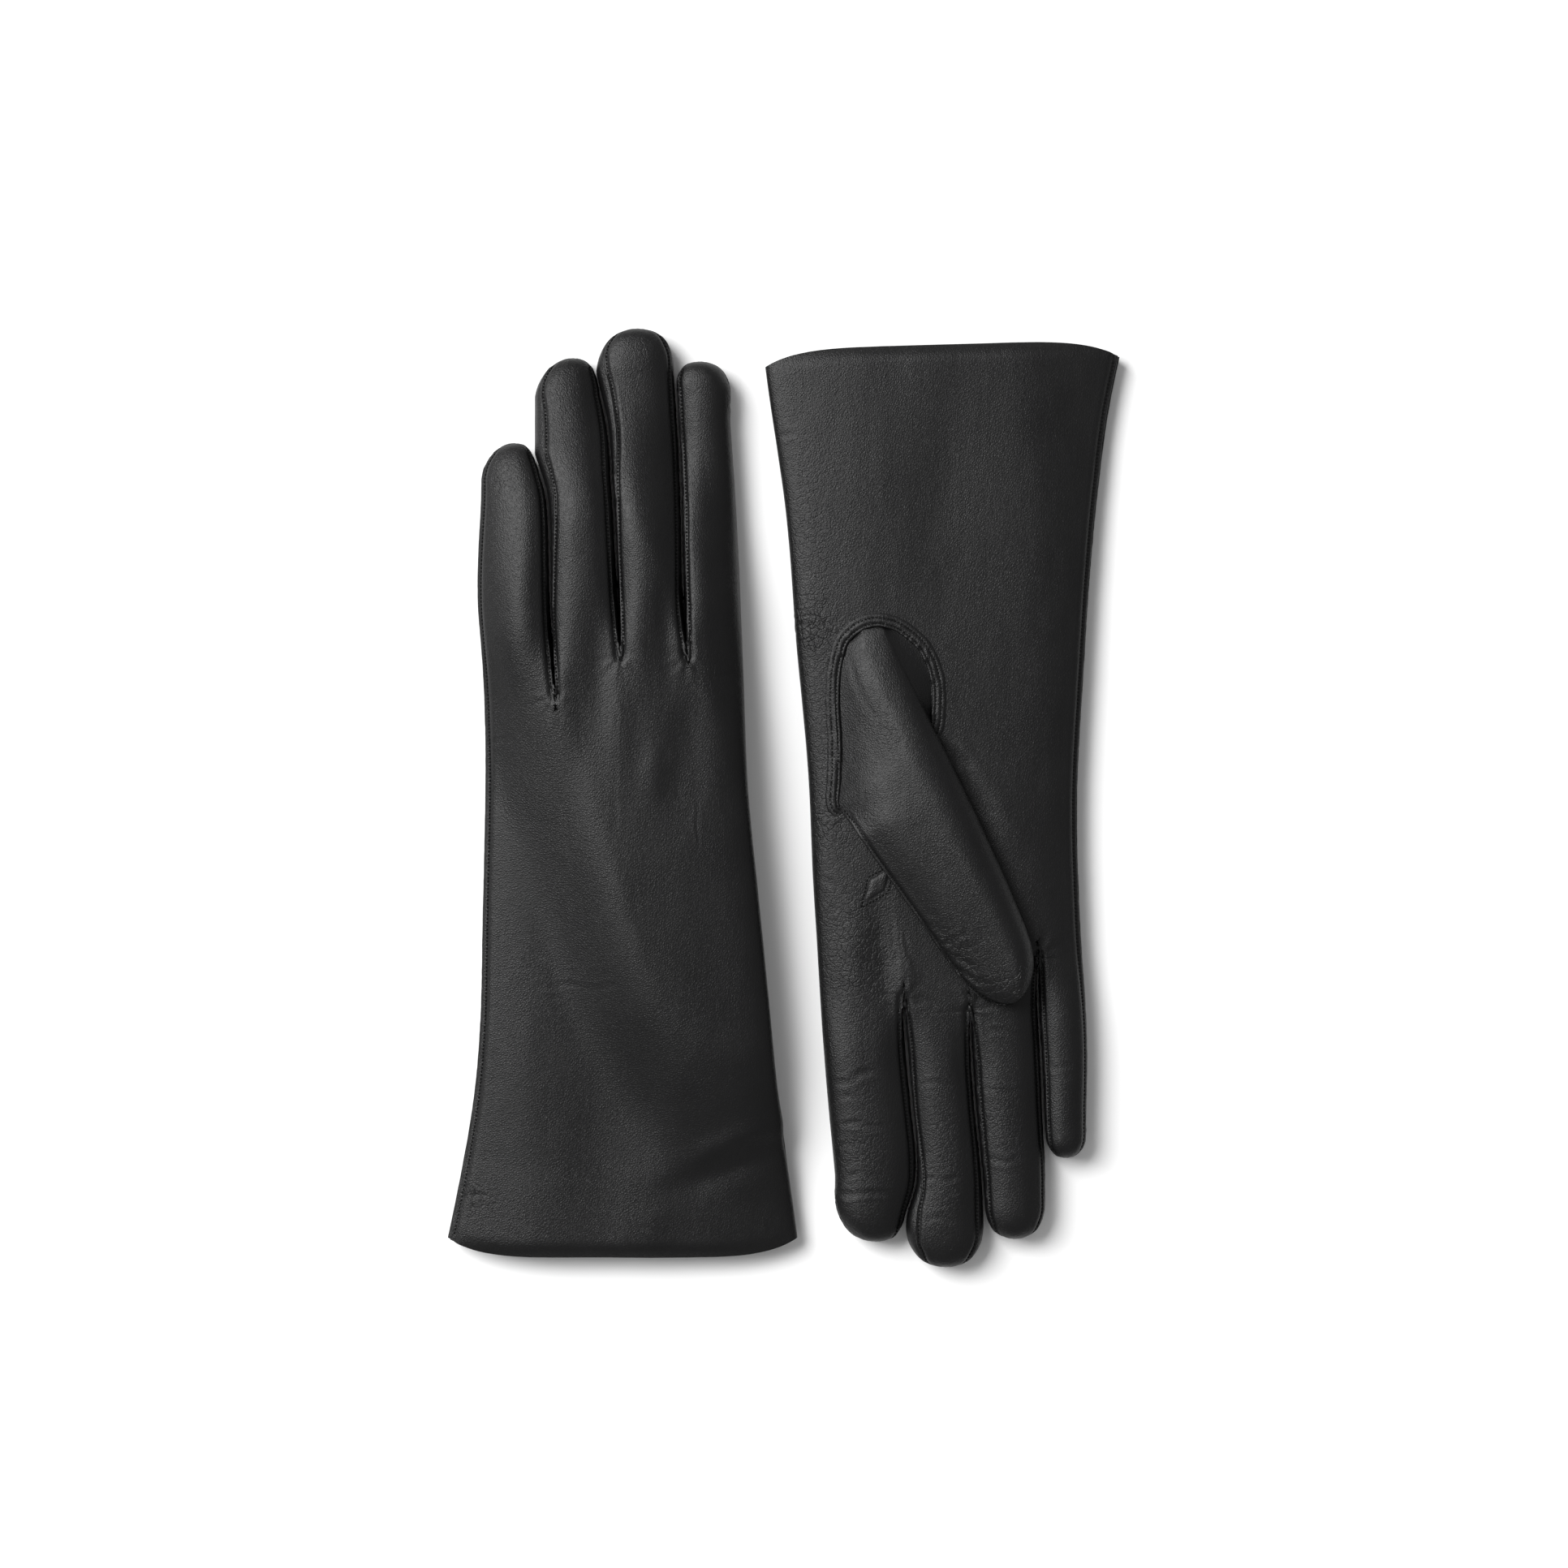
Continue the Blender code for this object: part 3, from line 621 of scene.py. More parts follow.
def grow_faces(form, skin, number, label, rows, columns):
    """A finger's upper and lower strips along these rows, and the stitched lines beside their edges."""
    v = rows[:, None]
    across = edge_spacing(columns)[None, :]
    tip_v, _ = form.glove["tips"][number]
    for layer in (1, -1):
        u, z = form.face(number, v, across if layer > 0 else across[:, ::-1], layer)
        points = form.place(u, v, z)
        from_start = arc_lengths(points)
        from_end = from_start[:, -1:] - from_start
        little, index = (from_start, from_end) if layer > 0 else (from_end, from_start)
        seam = np.full(points.shape[:2], FAR)
        runs = []
        for slit, away, from_first in ((number - 1, little, layer > 0), (number, index, layer < 0)):
            if 0 <= slit < 3:
                fork = form.forks[layer][slit]
                away = np.hypot(away, np.maximum(fork - v, 0) * 0.8)
                runs.append((from_first, fork + 1.5, STITCH_INSET))
            elif slit < 0:
                runs.append((from_first, 1.5, OUTSEAM_INSET))
            else:
                away = np.hypot(away, np.maximum(tip_v - INDEX_SEAM_END - v, 0))
                runs.append((from_first, tip_v - INDEX_STITCH_END, STITCH_INSET))
            seam = np.minimum(seam, away)
        patch = skin.add(points, label, layer=layer, seam=seam, v=v, finger=number)
        skin.runs += [(patch, label, *run) for run in runs]

def grow_walls(form, skin, number, label, rows, columns):
    """A finger's two side walls along these rows: the forks' gussets, or the glove's own outer sides."""
    down = np.linspace(0, 1, columns + 1)[None, :]
    tip_v, _ = form.glove["tips"][number]
    for edge in (1, 0):
        slit = number if edge else number - 1
        inner = 0 <= slit < 3
        wall_label = label
        v = rows[:, None]
        if inner:
            v = v[rows >= min(form.forks[1][slit], form.forks[-1][slit])]
            other = FINGERS[number + 1] if edge else FINGERS[number - 1]
            wall_label = "fork_gussets" if label == "hand" else f"{label}_{other}_fourchette"
        if len(v) < 2:
            continue
        u, z = form.wall(number, v, down, edge)
        points = form.place(u, v, z)
        length = arc_lengths(points)
        if inner:
            seam = np.minimum(length, length[:, -1:] - length)
        elif edge:
            seam = np.hypot(length, np.maximum(tip_v - INDEX_SEAM_END - v, 0))
        else:
            seam = length
        if not edge:
            points, seam = points[:, ::-1], seam[:, ::-1]
        skin.add(points, wall_label, layer=0, seam=seam, v=v, finger=number)

def grow(form, spacing, columns):
    """The whole skin of one glove, without its thumb, at this spacing."""
    skin = Skin()
    joins = [v + step for v in set(JOIN_V.values()) for step in (-JOIN_ROW, 0, JOIN_ROW)]
    marks = sorted({*form.forks[1], *form.forks[-1], *joins, 0.7, 2.0})
    all_hand_rows = rows_between(0, max(JOIN_V.values()), spacing, marks)
    for number, finger in enumerate(FINGERS):
        join = JOIN_V[number]
        tip_v, _ = form.glove["tips"][number]
        width = form.tip_width(number)
        round_start = tip_v - width * TIP_ROUND
        shaft = rows_between(join, round_start, spacing, [join + JOIN_ROW])
        turn = np.linspace(0, math.pi / 2, max(6, int(width * 0.9 / spacing)))[1:]
        cap = round_start + (tip_v - round_start) * np.sin(turn)
        hand_rows = all_hand_rows[all_hand_rows <= join]
        for rows, label in ((hand_rows, "hand"), (np.concatenate([shaft, cap]), finger)):
            grow_faces(form, skin, number, label, rows, columns)
            grow_walls(form, skin, number, label, rows, max(4, columns // 3))
    skin.weld()
    return skin

def rim_outline(form):
    """The thumb's hole in the palm, as places around it in glove coordinates."""
    up = np.linspace(THUMB_TOP_ROW, THUMB_JOIN, 90)
    seam = np.stack([up, curve(THUMB_SEAM, up)], axis=1)
    rim = np.stack([up, curve(THUMB_RIM, up)], axis=1)
    ring = np.concatenate([seam, rim[::-1]])
    return form.thumb_root + ring[:, :1] * form.thumb_along + ring[:, 1:] * form.thumb_side

def rim_depth(form, u, v):
    """How far a place on the palm is inside the thumb's hole, below 0 outside it."""
    along, beside = form.along_thumb(u, v)
    inside = (along > THUMB_TOP_ROW) & (along < THUMB_JOIN)
    inside &= (beside > curve(THUMB_RIM, along)) & (beside < curve(THUMB_SEAM, along))
    ring = rim_outline(form)
    away = np.full(len(u), 50.0)
    near = (along > THUMB_TOP_ROW - 12) & (along < 14) & (np.abs(beside) < 42)
    places = np.stack([u[near], v[near]], axis=1)
    away[near] = np.sqrt(((places[:, None, :] - ring[None, :, :]) ** 2).sum(axis=2)).min(axis=1)
    return np.where(inside, away, -away)

def seam_relief(distance, faced):
    """A sewn seam's section: the joint, and on a faced side its lip, the stitched groove and the puff."""
    lip = 0.18 * bell(distance - 0.6, 0.36)
    groove = -0.42 * bell(distance - STITCH_INSET, 0.48)
    puff = 0.20 * bell(distance - 2.7, 1.0)
    return -0.40 * bell(distance, 0.32) + faced * (lip + groove + puff)

def polyline_distance(u, v, line):
    """How far each place is from a line of points, and how far along it as a share of its length."""
    best, share = np.full(len(u), FAR), np.zeros(len(u))
    line = np.array(line, float)
    steps = np.linalg.norm(np.diff(line, axis=0), axis=1)
    total, done = steps.sum(), 0.0
    for start, end, step in zip(line[:-1], line[1:], steps):
        run = (end - start) / step
        along = np.clip((u - start[0]) * run[0] + (v - start[1]) * run[1], 0, step)
        away = np.hypot(u - start[0] - along * run[0], v - start[1] - along * run[1])
        nearer = away < best
        best = np.where(nearer, away, best)
        share = np.where(nearer, (done + along) / total, share)
        done += step
    return best, share

def creases_at(u, v, creases):
    """Fine folds pressed into the leather: a narrow valley between two soft shoulders."""
    amount = np.zeros(len(u))
    lows, highs = (f([p for line, _, _ in creases for p in line], axis=0) for f in (np.min, np.max))
    near = np.flatnonzero((u > lows[0] - 9) & (u < highs[0] + 9) & (v > lows[1] - 9) & (v < highs[1] + 9))
    x, y = u[near], v[near]
    x = x + 0.9 * plane_noise(x / 3.2, y / 3.2, 41)
    y = y + 0.9 * plane_noise(x / 3.2, y / 3.2, 42)
    for line, depth, width in creases:
        away, share = polyline_distance(x, y, line)
        fade = smooth(share / 0.22) * smooth((1 - share) / 0.22)
        shoulder = 0.55 * bell(away - 1.9 * width, 1.1 * width)
        amount[near] += depth * fade * (shoulder - bell(away, width))
    return amount

def folds_at(u, v, folds):
    """Broad soft folds and hollows: each a long smooth swelling or dent, turned to its own direction."""
    amount = np.zeros(len(u))
    for centre_u, centre_v, half_width, half_length, turn, height in folds:
        cos, sin = math.cos(math.radians(turn)), math.sin(math.radians(turn))
        across = ((u - centre_u) * cos + (v - centre_v) * sin) / half_width
        along = ((v - centre_v) * cos - (u - centre_u) * sin) / half_length
        amount += height * np.exp(-(across**2) - along**2)
    return amount

def shape_skin(form, skin):
    """Gives the welded skin its seams, puckers, dents and creases, and opens the thumb's hole."""
    facts = skin.facts
    layer, seam = facts["layer"], facts["seam"]
    at = skin.points
    u, v = at[:, 0], at[:, 1]
    outseam = (facts["finger"] == 0) & (u < form.boundary(0, v) + 6) & (layer != 0)
    reach = np.where(outseam, seam * STITCH_INSET / OUTSEAM_INSET, seam)
    amount = seam_relief(reach, (layer != 0) * 1.0)
    tip_v = np.array([v for v, _ in form.glove["tips"]])[facts["finger"].astype(int)]
    tip = smooth((v - tip_v + 16) / 12)
    pucker = noise(np.stack([v / 1.7, layer * 5.0 + facts["finger"] * 9.0, seam / 5], axis=1), 11)
    amount += (0.08 + 0.16 * tip) * pucker * np.exp(-seam / 2.6)
    amount += 0.09 * noise(at / [10, 31, 10] + 0.4, 21) + 0.05 * noise(at / [5, 10, 6], 22)
    amount += 0.06 * tip * noise(at / [2.6, 3.4, 2.6], 23)
    shown = layer == form.glove["shown"]
    amount += shown * (layer != 0) * creases_at(u, v, form.glove["creases"])
    amount += shown * folds_at(u, v, form.glove["folds"])
    for slit in range(3):
        for face in (1, -1):
            fork_v = form.forks[face][slit]
            fork_u = float(form.boundary(slit + 1, fork_v))
            away = np.hypot(u - fork_u, (v - fork_v) * 0.85)
            amount -= (layer == face) * 0.5 * bell(away, 3.0)
            turn = np.arctan2(u - fork_u, fork_v - v)
            rays = np.cos(turn * 9 + 2 * slit) * bell(away - 4, 3.2) * (v < fork_v + 1)
            amount += (layer == face) * 0.12 * rays
    skin.facts["wrinkle"] = np.clip(shown * folds_at(u, v, form.glove["wrinkled"]) + 0.1 * tip, 0, 1)
    depth = rim_depth(form, u, v)
    thumb_side = layer == (1 if form.side == "right" else -1)
    amount -= thumb_side * 1.7 * smooth((depth + 0.2) / 0.9)
    skin.displace(amount)
    centre = skin.points[skin.faces].mean(axis=1)
    hole = rim_depth(form, centre[:, 0], centre[:, 1]) > 1.6
    hole &= thumb_side[skin.faces].all(axis=1) & (skin.labels == "hand")
    skin.faces, skin.labels = skin.faces[~hole], skin.labels[~hole]

def grow_thumb(form, spacing, columns):
    """The thumb's skin: an open cone over its hole in the palm, then a flattened tube with a closed tip."""
    skin = Skin()
    height = form.glove["thumb_height"] / THUMB_RISE_TOP
    width = float(curve(THUMB_SEAM, 68) - curve(THUMB_FOLD, 68))
    round_length = width * 0.62
    round_start = THUMB_LENGTH - round_length
    turn = np.linspace(0, math.pi / 2, max(6, int(width * 0.9 / spacing)))[1:]
    marks = [THUMB_JOIN - JOIN_ROW, THUMB_JOIN, THUMB_JOIN + JOIN_ROW]
    s = np.concatenate([
        rows_between(THUMB_TOP_ROW, round_start, spacing, marks),
        round_start + round_length * np.sin(turn),
    ])[:, None]
    share = np.clip((s - round_start) / round_length, 0, 1)
    full = (1 - share**TIP_POWER) ** (1 / TIP_POWER)
    seam_edge, fold_edge = curve(THUMB_SEAM, s), curve(THUMB_FOLD, s)
    rise = curve(THUMB_RISE, s) * height
    closed = smooth((s - THUMB_JOIN) / 12)
    seam_height = -0.4 + (0.32 * rise + 0.4) * closed
    fold_height = 0.52 * rise
    middle = (seam_edge + fold_edge) / 2

    t = edge_spacing(columns)[None, :]
    across = 1 - 2 * t ** (1.0 + 0.95 * smooth((s + 46) / 40))
    top_side = np.clip(np.abs(across), 0, 1)
    broad = (1 - 0.36 * top_side) * (1 - top_side**6) ** 0.5
    fullness = smooth((s + 44) / 54)
    seam_side = (1 - top_side**1.25) * (1 - fullness) + broad * fullness
    arch = np.where(across > 0, seam_side, (1 - top_side**2.2) ** 0.72)
    base = seam_height + (fold_height - seam_height) * smooth(t)
    top = (seam_edge + (fold_edge - seam_edge) * t, base + (rise - base) * arch)

    end = np.where(s < THUMB_JOIN, curve(THUMB_RIM, s), seam_edge)
    under_t = np.linspace(0, 1, columns * 2 // 3 + 1)[None, :]
    flat = 0.25 + (fold_height - 0.25) * (1 - smooth(under_t / 0.2))
    flat = flat + (seam_height - 0.25) * smooth((under_t - 0.8) / 0.2)
    panel = -0.4 + (fold_height + 0.4) * (1 - under_t) ** 1.4
    under_share = smooth((s + 14) / 8)
    under = (fold_edge + (end - fold_edge) * under_t, panel + (flat - panel) * under_share)

    for number, (beside, rise_at) in enumerate((top, under)):
        beside = middle + (beside - middle) * full
        rise_at = rise / 2 + (rise_at - rise / 2) * full**TIP_FULLNESS
        u = form.thumb_root[0] + s * form.thumb_along[0] + beside * form.thumb_side[0]
        v = form.thumb_root[1] + s * form.thumb_along[1] + beside * form.thumb_side[1]
        if form.side == "right":
            palm = form.place(u, v, form.hand_z(u, v, 1))[..., 2]
            level = palm + (HAND_HEIGHT + THUMB_GAP - palm) * smooth((s + 12) / 26)
            z = level + rise_at
        else:
            z = np.maximum(form.lift(u, v) - rise_at, 0.02)
        points = np.stack([u, v, z], axis=-1)
        if form.side == "right":
            points = points[:, ::-1]
        length = arc_lengths(points)
        total = length[:, -1:]
        seam = length if (number == 0) == (form.side == "left") else total - length
        rows_s = np.broadcast_to(s, seam.shape)
        seam = np.where((number == 1) & (rows_s < THUMB_JOIN), FAR, seam)
        patch = skin.add(points, "thumb", layer=1 - number, seam=seam, v=rows_s, finger=4)
        if number == 0:
            skin.runs.append((patch, "thumb", form.side == "left", THUMB_JOIN + 0.5, STITCH_INSET))
    skin.weld()
    centre = skin.facts["v"][skin.faces].mean(axis=1)
    skin.labels = np.where(centre < THUMB_JOIN, "thumb_base", "thumb")
    return skin

def shape_thumb(form, skin):
    """Gives the thumb its seam, puckers, soft folds and creases."""
    at, seam, s = skin.points, skin.facts["seam"], skin.facts["v"]
    side = (at[:, :2] - form.thumb_root) @ form.thumb_side
    sewn = smooth((s - THUMB_JOIN) / 8)
    amount = seam_relief(seam, 1.0) * sewn * 0.8
    tip = smooth((s - THUMB_LENGTH + 16) / 12)
    pucker = noise(np.stack([s / 1.7, seam / 4, seam * 0], axis=1), 31)
    amount += (0.08 + 0.2 * tip) * sewn * pucker * np.exp(-seam / 2.6)
    amount += 0.09 * noise(at / [10, 14, 9] + 0.4, 32) + 0.05 * noise(at / [4, 5, 4], 33)
    amount += 0.06 * tip * noise(at / [2.4, 3.0, 2.4], 34)
    above = skin.facts["layer"] == 1
    if form.side == "right":
        amount += above * creases_at(side, s, THUMB_CREASES)
        amount += above * folds_at(side, s, THUMB_FOLDS)
    skin.facts["wrinkle"] = np.clip(tip * 0.7 + above * folds_at(side, s, THUMB_WRINKLED), 0, 1)
    skin.displace(amount)

def new_mesh(name, points, faces, look, wrinkle=None):
    """A mesh object of these faces, without the corners that fell together."""
    mesh = bpy.data.meshes.new(name)
    clean = []
    for face in faces:
        kept = list(dict.fromkeys(face))
        if len(kept) > 2:
            clean.append(kept)
    mesh.from_pydata(points, [], clean)
    if wrinkle is not None:
        mesh.attributes.new("wrinkle", "FLOAT", "POINT").data.foreach_set("value", wrinkle)
    mesh.materials.append(look)
    mesh.shade_smooth()
    mesh.set_sharp_from_angle(angle=SHARP_ANGLE)
    made = bpy.data.objects.new(name, mesh)
    bpy.context.collection.objects.link(made)
    return made

def cut_piece(name, form, skin, labels, look, thickness, sunk=0.0):
    """One sewn piece: the skin's faces with these labels, as a closed solid of the leather's thickness."""
    faces = skin.faces[np.isin(skin.labels, labels)]
    used, inverse = np.unique(faces, return_inverse=True)
    faces = inverse.reshape(faces.shape)
    outside = skin.points[used] - skin.normals[used] * sunk
    inside = outside - skin.normals[used] * thickness
    count = len(used)
    ends = [(faces[:, k], faces[:, (k + 1) % 4]) for k in range(4)]
    a, b = (np.concatenate(x) for x in zip(*ends))
    real = a != b
    a, b = a[real], b[real]
    keys, back = a * count + b, b * count + a
    rim = ~np.isin(keys, back)
    walls = np.stack([b[rim], a[rim], a[rim] + count, b[rim] + count], axis=1)
    everything = np.concatenate([faces, faces[:, ::-1] + count, walls])
    points = form.world(np.concatenate([outside, inside]))
    wrinkle = skin.facts["wrinkle"][used] if "wrinkle" in skin.facts else np.zeros(count)
    wrinkle = np.concatenate([wrinkle, wrinkle]).astype(np.float32)
    return new_mesh(name, points.tolist(), everything.tolist(), look, wrinkle=wrinkle)

def world_point(form, v):
    """A point halfway up the middle of the hand, in metres."""
    return tuple(float(x) for x in form.world([0, v, HALFWAY_UP]))

def thread_run(points, normals):
    """Stitches along a row: each one's centre, direction and outward normal."""
    length = arc_lengths(points[None])[0]
    if length[-1] < STITCH_PITCH * 2:
        return []
    places = np.arange(STITCH_PITCH / 2, length[-1], STITCH_PITCH)
    centre, up = interpolate(places, length, points), interpolate(places, length, normals)
    ahead, behind = (interpolate(places + step, length, points) for step in (0.3, -0.3))
    return list(zip(centre, ahead - behind, up))

def stitch_mesh(name, form, stitches, look):
    """All the stitches of one piece: short rounded lengths of thread, sunk by a third into the leather."""
    points, faces = [], []
    for centre, direction, up in stitches:
        centre = np.array([centre[0], centre[1], max(centre[2], 0.3)])
        direction = unit(direction)
        up = unit(up - direction * (up @ direction))
        beside = np.cross(direction, up)
        start = len(points)
        for reach, width in STITCH_PROFILE:
            middle = centre + direction * reach * STITCH_LENGTH + up * (0.1 - abs(reach) * 0.22)
            for k in range(STITCH_SIDES):
                turn = 2 * math.pi * k / STITCH_SIDES
                out = (up * math.sin(turn) * 0.85 + beside * math.cos(turn)) * width * STITCH_RADIUS
                points.append(middle + out)
        last = len(points) - STITCH_SIDES
        for ring in range(start, last, STITCH_SIDES):
            for k in range(STITCH_SIDES):
                a, b = ring + k, ring + (k + 1) % STITCH_SIDES
                faces.append((a, a + STITCH_SIDES, b + STITCH_SIDES, b))
        faces.append(tuple(range(start, start + STITCH_SIDES)))
        faces.append(tuple(reversed(range(last, len(points)))))
    return new_mesh(name, form.world(np.array(points)).tolist(), faces, look)

def stitches_along(skin, label):
    """The stitches beside the seams of the pieces with this label."""
    found = []
    for patch, piece, from_first, start, inset in skin.runs:
        if piece != label:
            continue
        grid = skin.grids[patch]
        v = skin.patches[patch][2]["v"][:, 0]
        points, normals = skin.points[grid], skin.normals[grid]
        if not from_first:
            points, normals = points[:, ::-1], normals[:, ::-1]
        length = arc_lengths(points)
        rows = [r for r in range(len(v)) if v[r] >= start and length[r, -1] > inset * 2.4]
        if len(rows) < 3:
            continue
        at, up = (np.array([interpolate(inset, length[r], x[r]) for r in rows]) for x in (points, normals))
        found += thread_run(at, up)
    return found

class Surface:
    """One layer's finished surface, to lay other pieces on."""

    def __init__(self, skin, layer):
        chosen = np.flatnonzero(skin.facts["layer"] == layer)
        self.points, self.normals = skin.points[chosen], skin.normals[chosen]
        self.tree = KDTree(len(chosen))
        for k, point in enumerate(self.points):
            self.tree.insert((point[0], point[1], 0), k)
        self.tree.balance()

    def at(self, places):
        """The surface's points over these places, and their normals."""
        points, normals = [], []
        for u, v in places:
            k = self.tree.find((u, v, 0))[1]
            point, normal = self.points[k], self.normals[k]
            upright = math.copysign(max(abs(normal[2]), 0.4), normal[2])
            slope = (normal[0] * (u - point[0]) + normal[1] * (v - point[1])) / upright
            points.append(np.array([u, v, point[2] - slope]))
            normals.append(normal)
        return np.array(points), np.array(normals)

def evened(ring, times):
    """A closed row of points or directions, each drawn towards its neighbours."""
    for _ in range(times):
        ring = (np.roll(ring, 1, axis=0) + ring * 2 + np.roll(ring, -1, axis=0)) / 4
    return ring

def sheet(name, form, grid, look, wrinkle):
    """A small piece of its own: one grid of points, as a closed solid."""
    skin = Skin()
    skin.add(grid, name, layer=1, seam=FAR, v=0.0, finger=0)
    skin.weld()
    skin.facts["wrinkle"] = np.full(len(skin.points), wrinkle)
    return cut_piece(f"{form.side}_{name}", form, skin, [name], look, SHEET)

def make_rim(form, surface, look, thread):
    """The palm's turned edge round the thumb's hole, with its two rows of stitches."""
    ring = rim_outline(form)
    ring = np.concatenate([ring, ring[:1]])
    length = arc_lengths(ring[None])[0]
    even = np.linspace(0, length[-1], RIM_POINTS, endpoint=False)
    ring = evened(interpolate(even, length, ring), 5)
    along = np.roll(ring, -1, axis=0) - np.roll(ring, 1, axis=0)
    out = evened(unit(np.stack([along[:, 1], -along[:, 0]], axis=1)), 4)
    if rim_depth(form, *(ring + out)[:1].T)[0] > rim_depth(form, *(ring - out)[:1].T)[0]:
        out = -out
    shown = 1 - smooth((form.along_thumb(*ring.T)[0] + 2.0) / 2.5)
    columns, rows_up = [], []
    for away, height in RIM_SECTION:
        on_palm, up = surface.at(ring + out * max(away, 1.2))
        place = np.concatenate([ring + out * away, on_palm[:, 2:]], axis=1)
        uneven = 0.08 * noise(np.stack([even / 1.9, np.full(len(even), away / 1.4), even * 0], axis=1), 51)
        columns.append(place + up * ((height + uneven + RIM_SUNK) * shown - RIM_SUNK)[:, None])
        rows_up.append(up)
    grid = np.stack(columns, axis=1)
    grid = np.concatenate([grid, grid[:1]])
    up = np.concatenate([rows_up[0], rows_up[0][:1]])
    facing = np.cross(grid[1, 5] - grid[0, 5], grid[0, 6] - grid[0, 5]) @ up[0]
    grooves = [grid[:, k] for k, (away, _) in enumerate(RIM_SECTION) if away in RIM_ROWS]
    welt = sheet("thumb_hole_edge", form, grid[:, ::-1] if facing > 0 else grid, look, 0.15)
    stitches = [stitch for line in grooves for stitch in thread_run(line, up)]
    return welt, stitch_mesh(f"{form.side}_thumb_hole_thread", form, stitches, thread)

def quirk_corners(half_width, half_length):
    """The small diamond let into the palm beside the thumb: its corners in glove coordinates."""
    cos, sin = math.cos(QUIRK_TURN), math.sin(QUIRK_TURN)
    corners = [(0, half_length), (half_width, 0), (0, -half_length), (-half_width, 0)]
    return np.array([
        (QUIRK_CENTRE[0] + x * cos - y * sin, QUIRK_CENTRE[1] + x * sin + y * cos) for x, y in corners
    ])

def make_quirk(form, surface, look):
    """The quirk's own leather, slightly raised between its seams."""
    a, b, c, d = quirk_corners(*QUIRK_HALF)
    places, crown = [], []
    for y in np.linspace(0, 1, QUIRK_POINTS):
        for x in np.linspace(0, 1, QUIRK_POINTS):
            places.append((1 - x) * (1 - y) * a + x * (1 - y) * b + x * y * c + (1 - x) * y * d)
            crown.append(min(x, 1 - x, y, 1 - y))
    points, normals = surface.at(places)
    crown = smooth(np.array(crown) / 0.2)[:, None]
    grid = (points + normals * (crown * 0.5 - 0.2)).reshape(QUIRK_POINTS, QUIRK_POINTS, 3)
    if np.cross(grid[0, 1] - grid[0, 0], grid[1, 0] - grid[0, 0]) @ normals[0] < 0:
        grid = grid[:, ::-1]
    return sheet("quirk", form, grid, look, 0.0)

def quirk_stitches(surface):
    """A row of stitches just outside each of the quirk's four sides."""
    corners = quirk_corners(QUIRK_HALF[0] + 0.8, QUIRK_HALF[1] + 1.1)
    share = np.linspace(0, 1, 12)[:, None]
    found = []
    for start, end in zip(corners, np.roll(corners, -1, axis=0)):
        found += thread_run(*surface.at(start * (1 - share) + end * share))
    return found

# Materials

def shader_tree(name, colour, roughness):
    """A new material, its node tree and its shader."""
    made = bpy.data.materials.new(name)
    made.use_nodes = True
    tree = made.node_tree
    shader = tree.nodes["Principled BSDF"]
    shader.inputs["Base Color"].default_value = (*colour, 1)
    shader.inputs["Roughness"].default_value = roughness
    return made, tree, shader

def add_node(tree, kind, **settings):
    """A node with these inputs and properties."""
    node = tree.nodes.new(kind)
    for name, value in settings.items():
        if name in node.inputs:
            node.inputs[name].default_value = value
        else:
            setattr(node, name, value)
    return node

def add_texture(tree, kind, place, **settings):
    """A texture laid in these coordinates."""
    node = add_node(tree, kind, **settings)
    tree.links.new(place, node.inputs["Vector"])
    return node

def add_tint(tree, shader, share, dark, light):
    """Varies the surface's colour between these two."""
    tint = add_node(tree, "ShaderNodeMix", data_type="RGBA")
    tint.inputs["A"].default_value = (*dark, 1)
    tint.inputs["B"].default_value = (*light, 1)
    tree.links.new(share, tint.inputs["Factor"])
    tree.links.new(tint.outputs["Result"], shader.inputs["Base Color"])

def grain_coordinates(tree, stretch=(1, 1, 1)):
    """The object's own coordinates, stretched along its axes."""
    place = add_node(tree, "ShaderNodeTexCoord")
    mapping = add_node(tree, "ShaderNodeMapping", Scale=stretch)
    tree.links.new(place.outputs["Object"], mapping.inputs["Vector"])
    return mapping.outputs["Vector"]

def add_bump(tree, height, distance, strength, under=None):
    """A bump laid over another one, as a normal."""
    bump = add_node(tree, "ShaderNodeBump", Strength=strength, Distance=distance)
    tree.links.new(height, bump.inputs["Height"])
    if under is not None:
        tree.links.new(under, bump.inputs["Normal"])
    return bump.outputs["Normal"]

def ramp_between(tree, source, low, high):
    """A value from 0 to 1, spread between low and high."""
    ramp = add_node(tree, "ShaderNodeMapRange", clamp=True)
    ramp.inputs["To Min"].default_value = low
    ramp.inputs["To Max"].default_value = high
    tree.links.new(source, ramp.inputs["Value"])
    return ramp.outputs["Result"]

